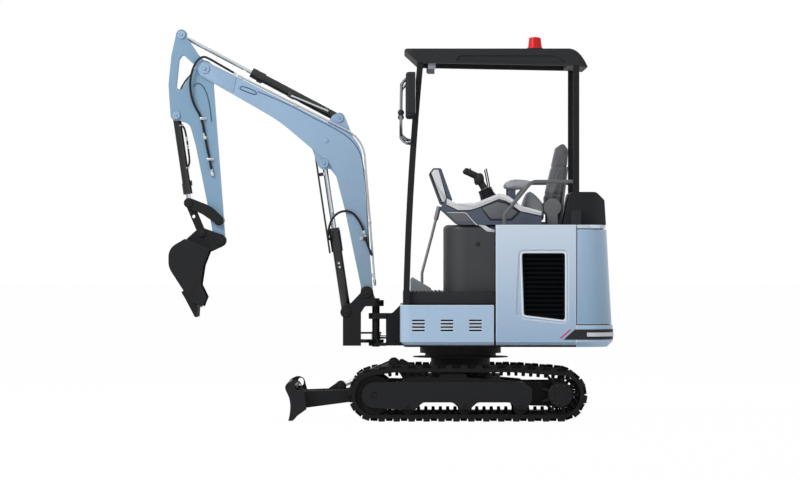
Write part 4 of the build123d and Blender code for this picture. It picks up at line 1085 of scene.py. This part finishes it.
# Floor: pale, and white to the camera but for the shadow it takes
def make_floor():
    mesh = bpy.data.meshes.new("floor")
    shape = bmesh.new()
    bmesh.ops.create_grid(shape, x_segments=1, y_segments=1, size=FLOOR_HALF)
    shape.to_mesh(mesh)
    shape.free()
    floor = bpy.data.objects.new("floor", mesh)
    bpy.context.scene.collection.objects.link(floor)
    material, tree, _ = new_material("pale_floor")
    rays = add(tree, "LightPath")
    share = add(
        tree, "Math", {0: rays.outputs["Is Camera Ray"], 1: FLOOR_GLOW}, operation="MULTIPLY"
    )
    matt = add(tree, "BsdfDiffuse", {"Color": linear("#f0f0f0")})
    glow = add(tree, "Emission", {"Color": (1, 1, 1, 1), "Strength": 1.0})
    mixed = add(tree, "MixShader", {0: share.outputs[0], 1: matt.outputs[0], 2: glow.outputs[0]})
    add(tree, "OutputMaterial", {"Surface": mixed.outputs[0]})
    mesh.materials.append(material)


# World: white where it is seen or mirrored, a soft grey light elsewhere
def make_world():
    world = bpy.data.worlds.new("studio")
    world.use_nodes = True
    bpy.context.scene.world = world
    tree = world.node_tree
    tree.nodes.clear()
    rays = add(tree, "LightPath")
    seen = add(
        tree,
        "Math",
        {0: rays.outputs["Is Camera Ray"], 1: rays.outputs["Is Glossy Ray"]},
        operation="MAXIMUM",
    )
    seen = add(
        tree,
        "Math",
        {0: seen.outputs[0], 1: rays.outputs["Is Transmission Ray"]},
        operation="MAXIMUM",
    )
    level = add(tree, "MapRange", {"Value": seen.outputs[0], "To Min": SKY_LIGHT, "To Max": 1.0})
    sky = add(tree, "Background", {"Color": (1, 1, 1, 1), "Strength": level.outputs[0]})
    add(tree, "OutputWorld", {"Surface": sky.outputs[0]})


# A square studio lamp that faces a point
def make_lamp(name, place, aim, power):
    data = bpy.data.lights.new(name, "AREA")
    data.size = LAMP_SIZE
    data.energy = power
    lamp = bpy.data.objects.new(name, data)
    lamp.location = place
    lamp.rotation_euler = (Vector(aim) - Vector(place)).to_track_quat("-Z", "Y").to_euler()
    bpy.context.scene.collection.objects.link(lamp)


make_camera()
make_floor()
make_world()
make_lamp("key_lamp", (-6.5, -6.0, 6.5), (-0.4, 0, 1.0), 560)
make_lamp("fill_lamp", (6.0, -5.0, 4.0), (-0.2, 0, 1.0), 30)
make_lamp("back_lamp", (1.0, 7.0, 6.0), (-0.4, 0, 1.0), 260)
bpy.context.scene.view_settings.view_transform = "Standard"
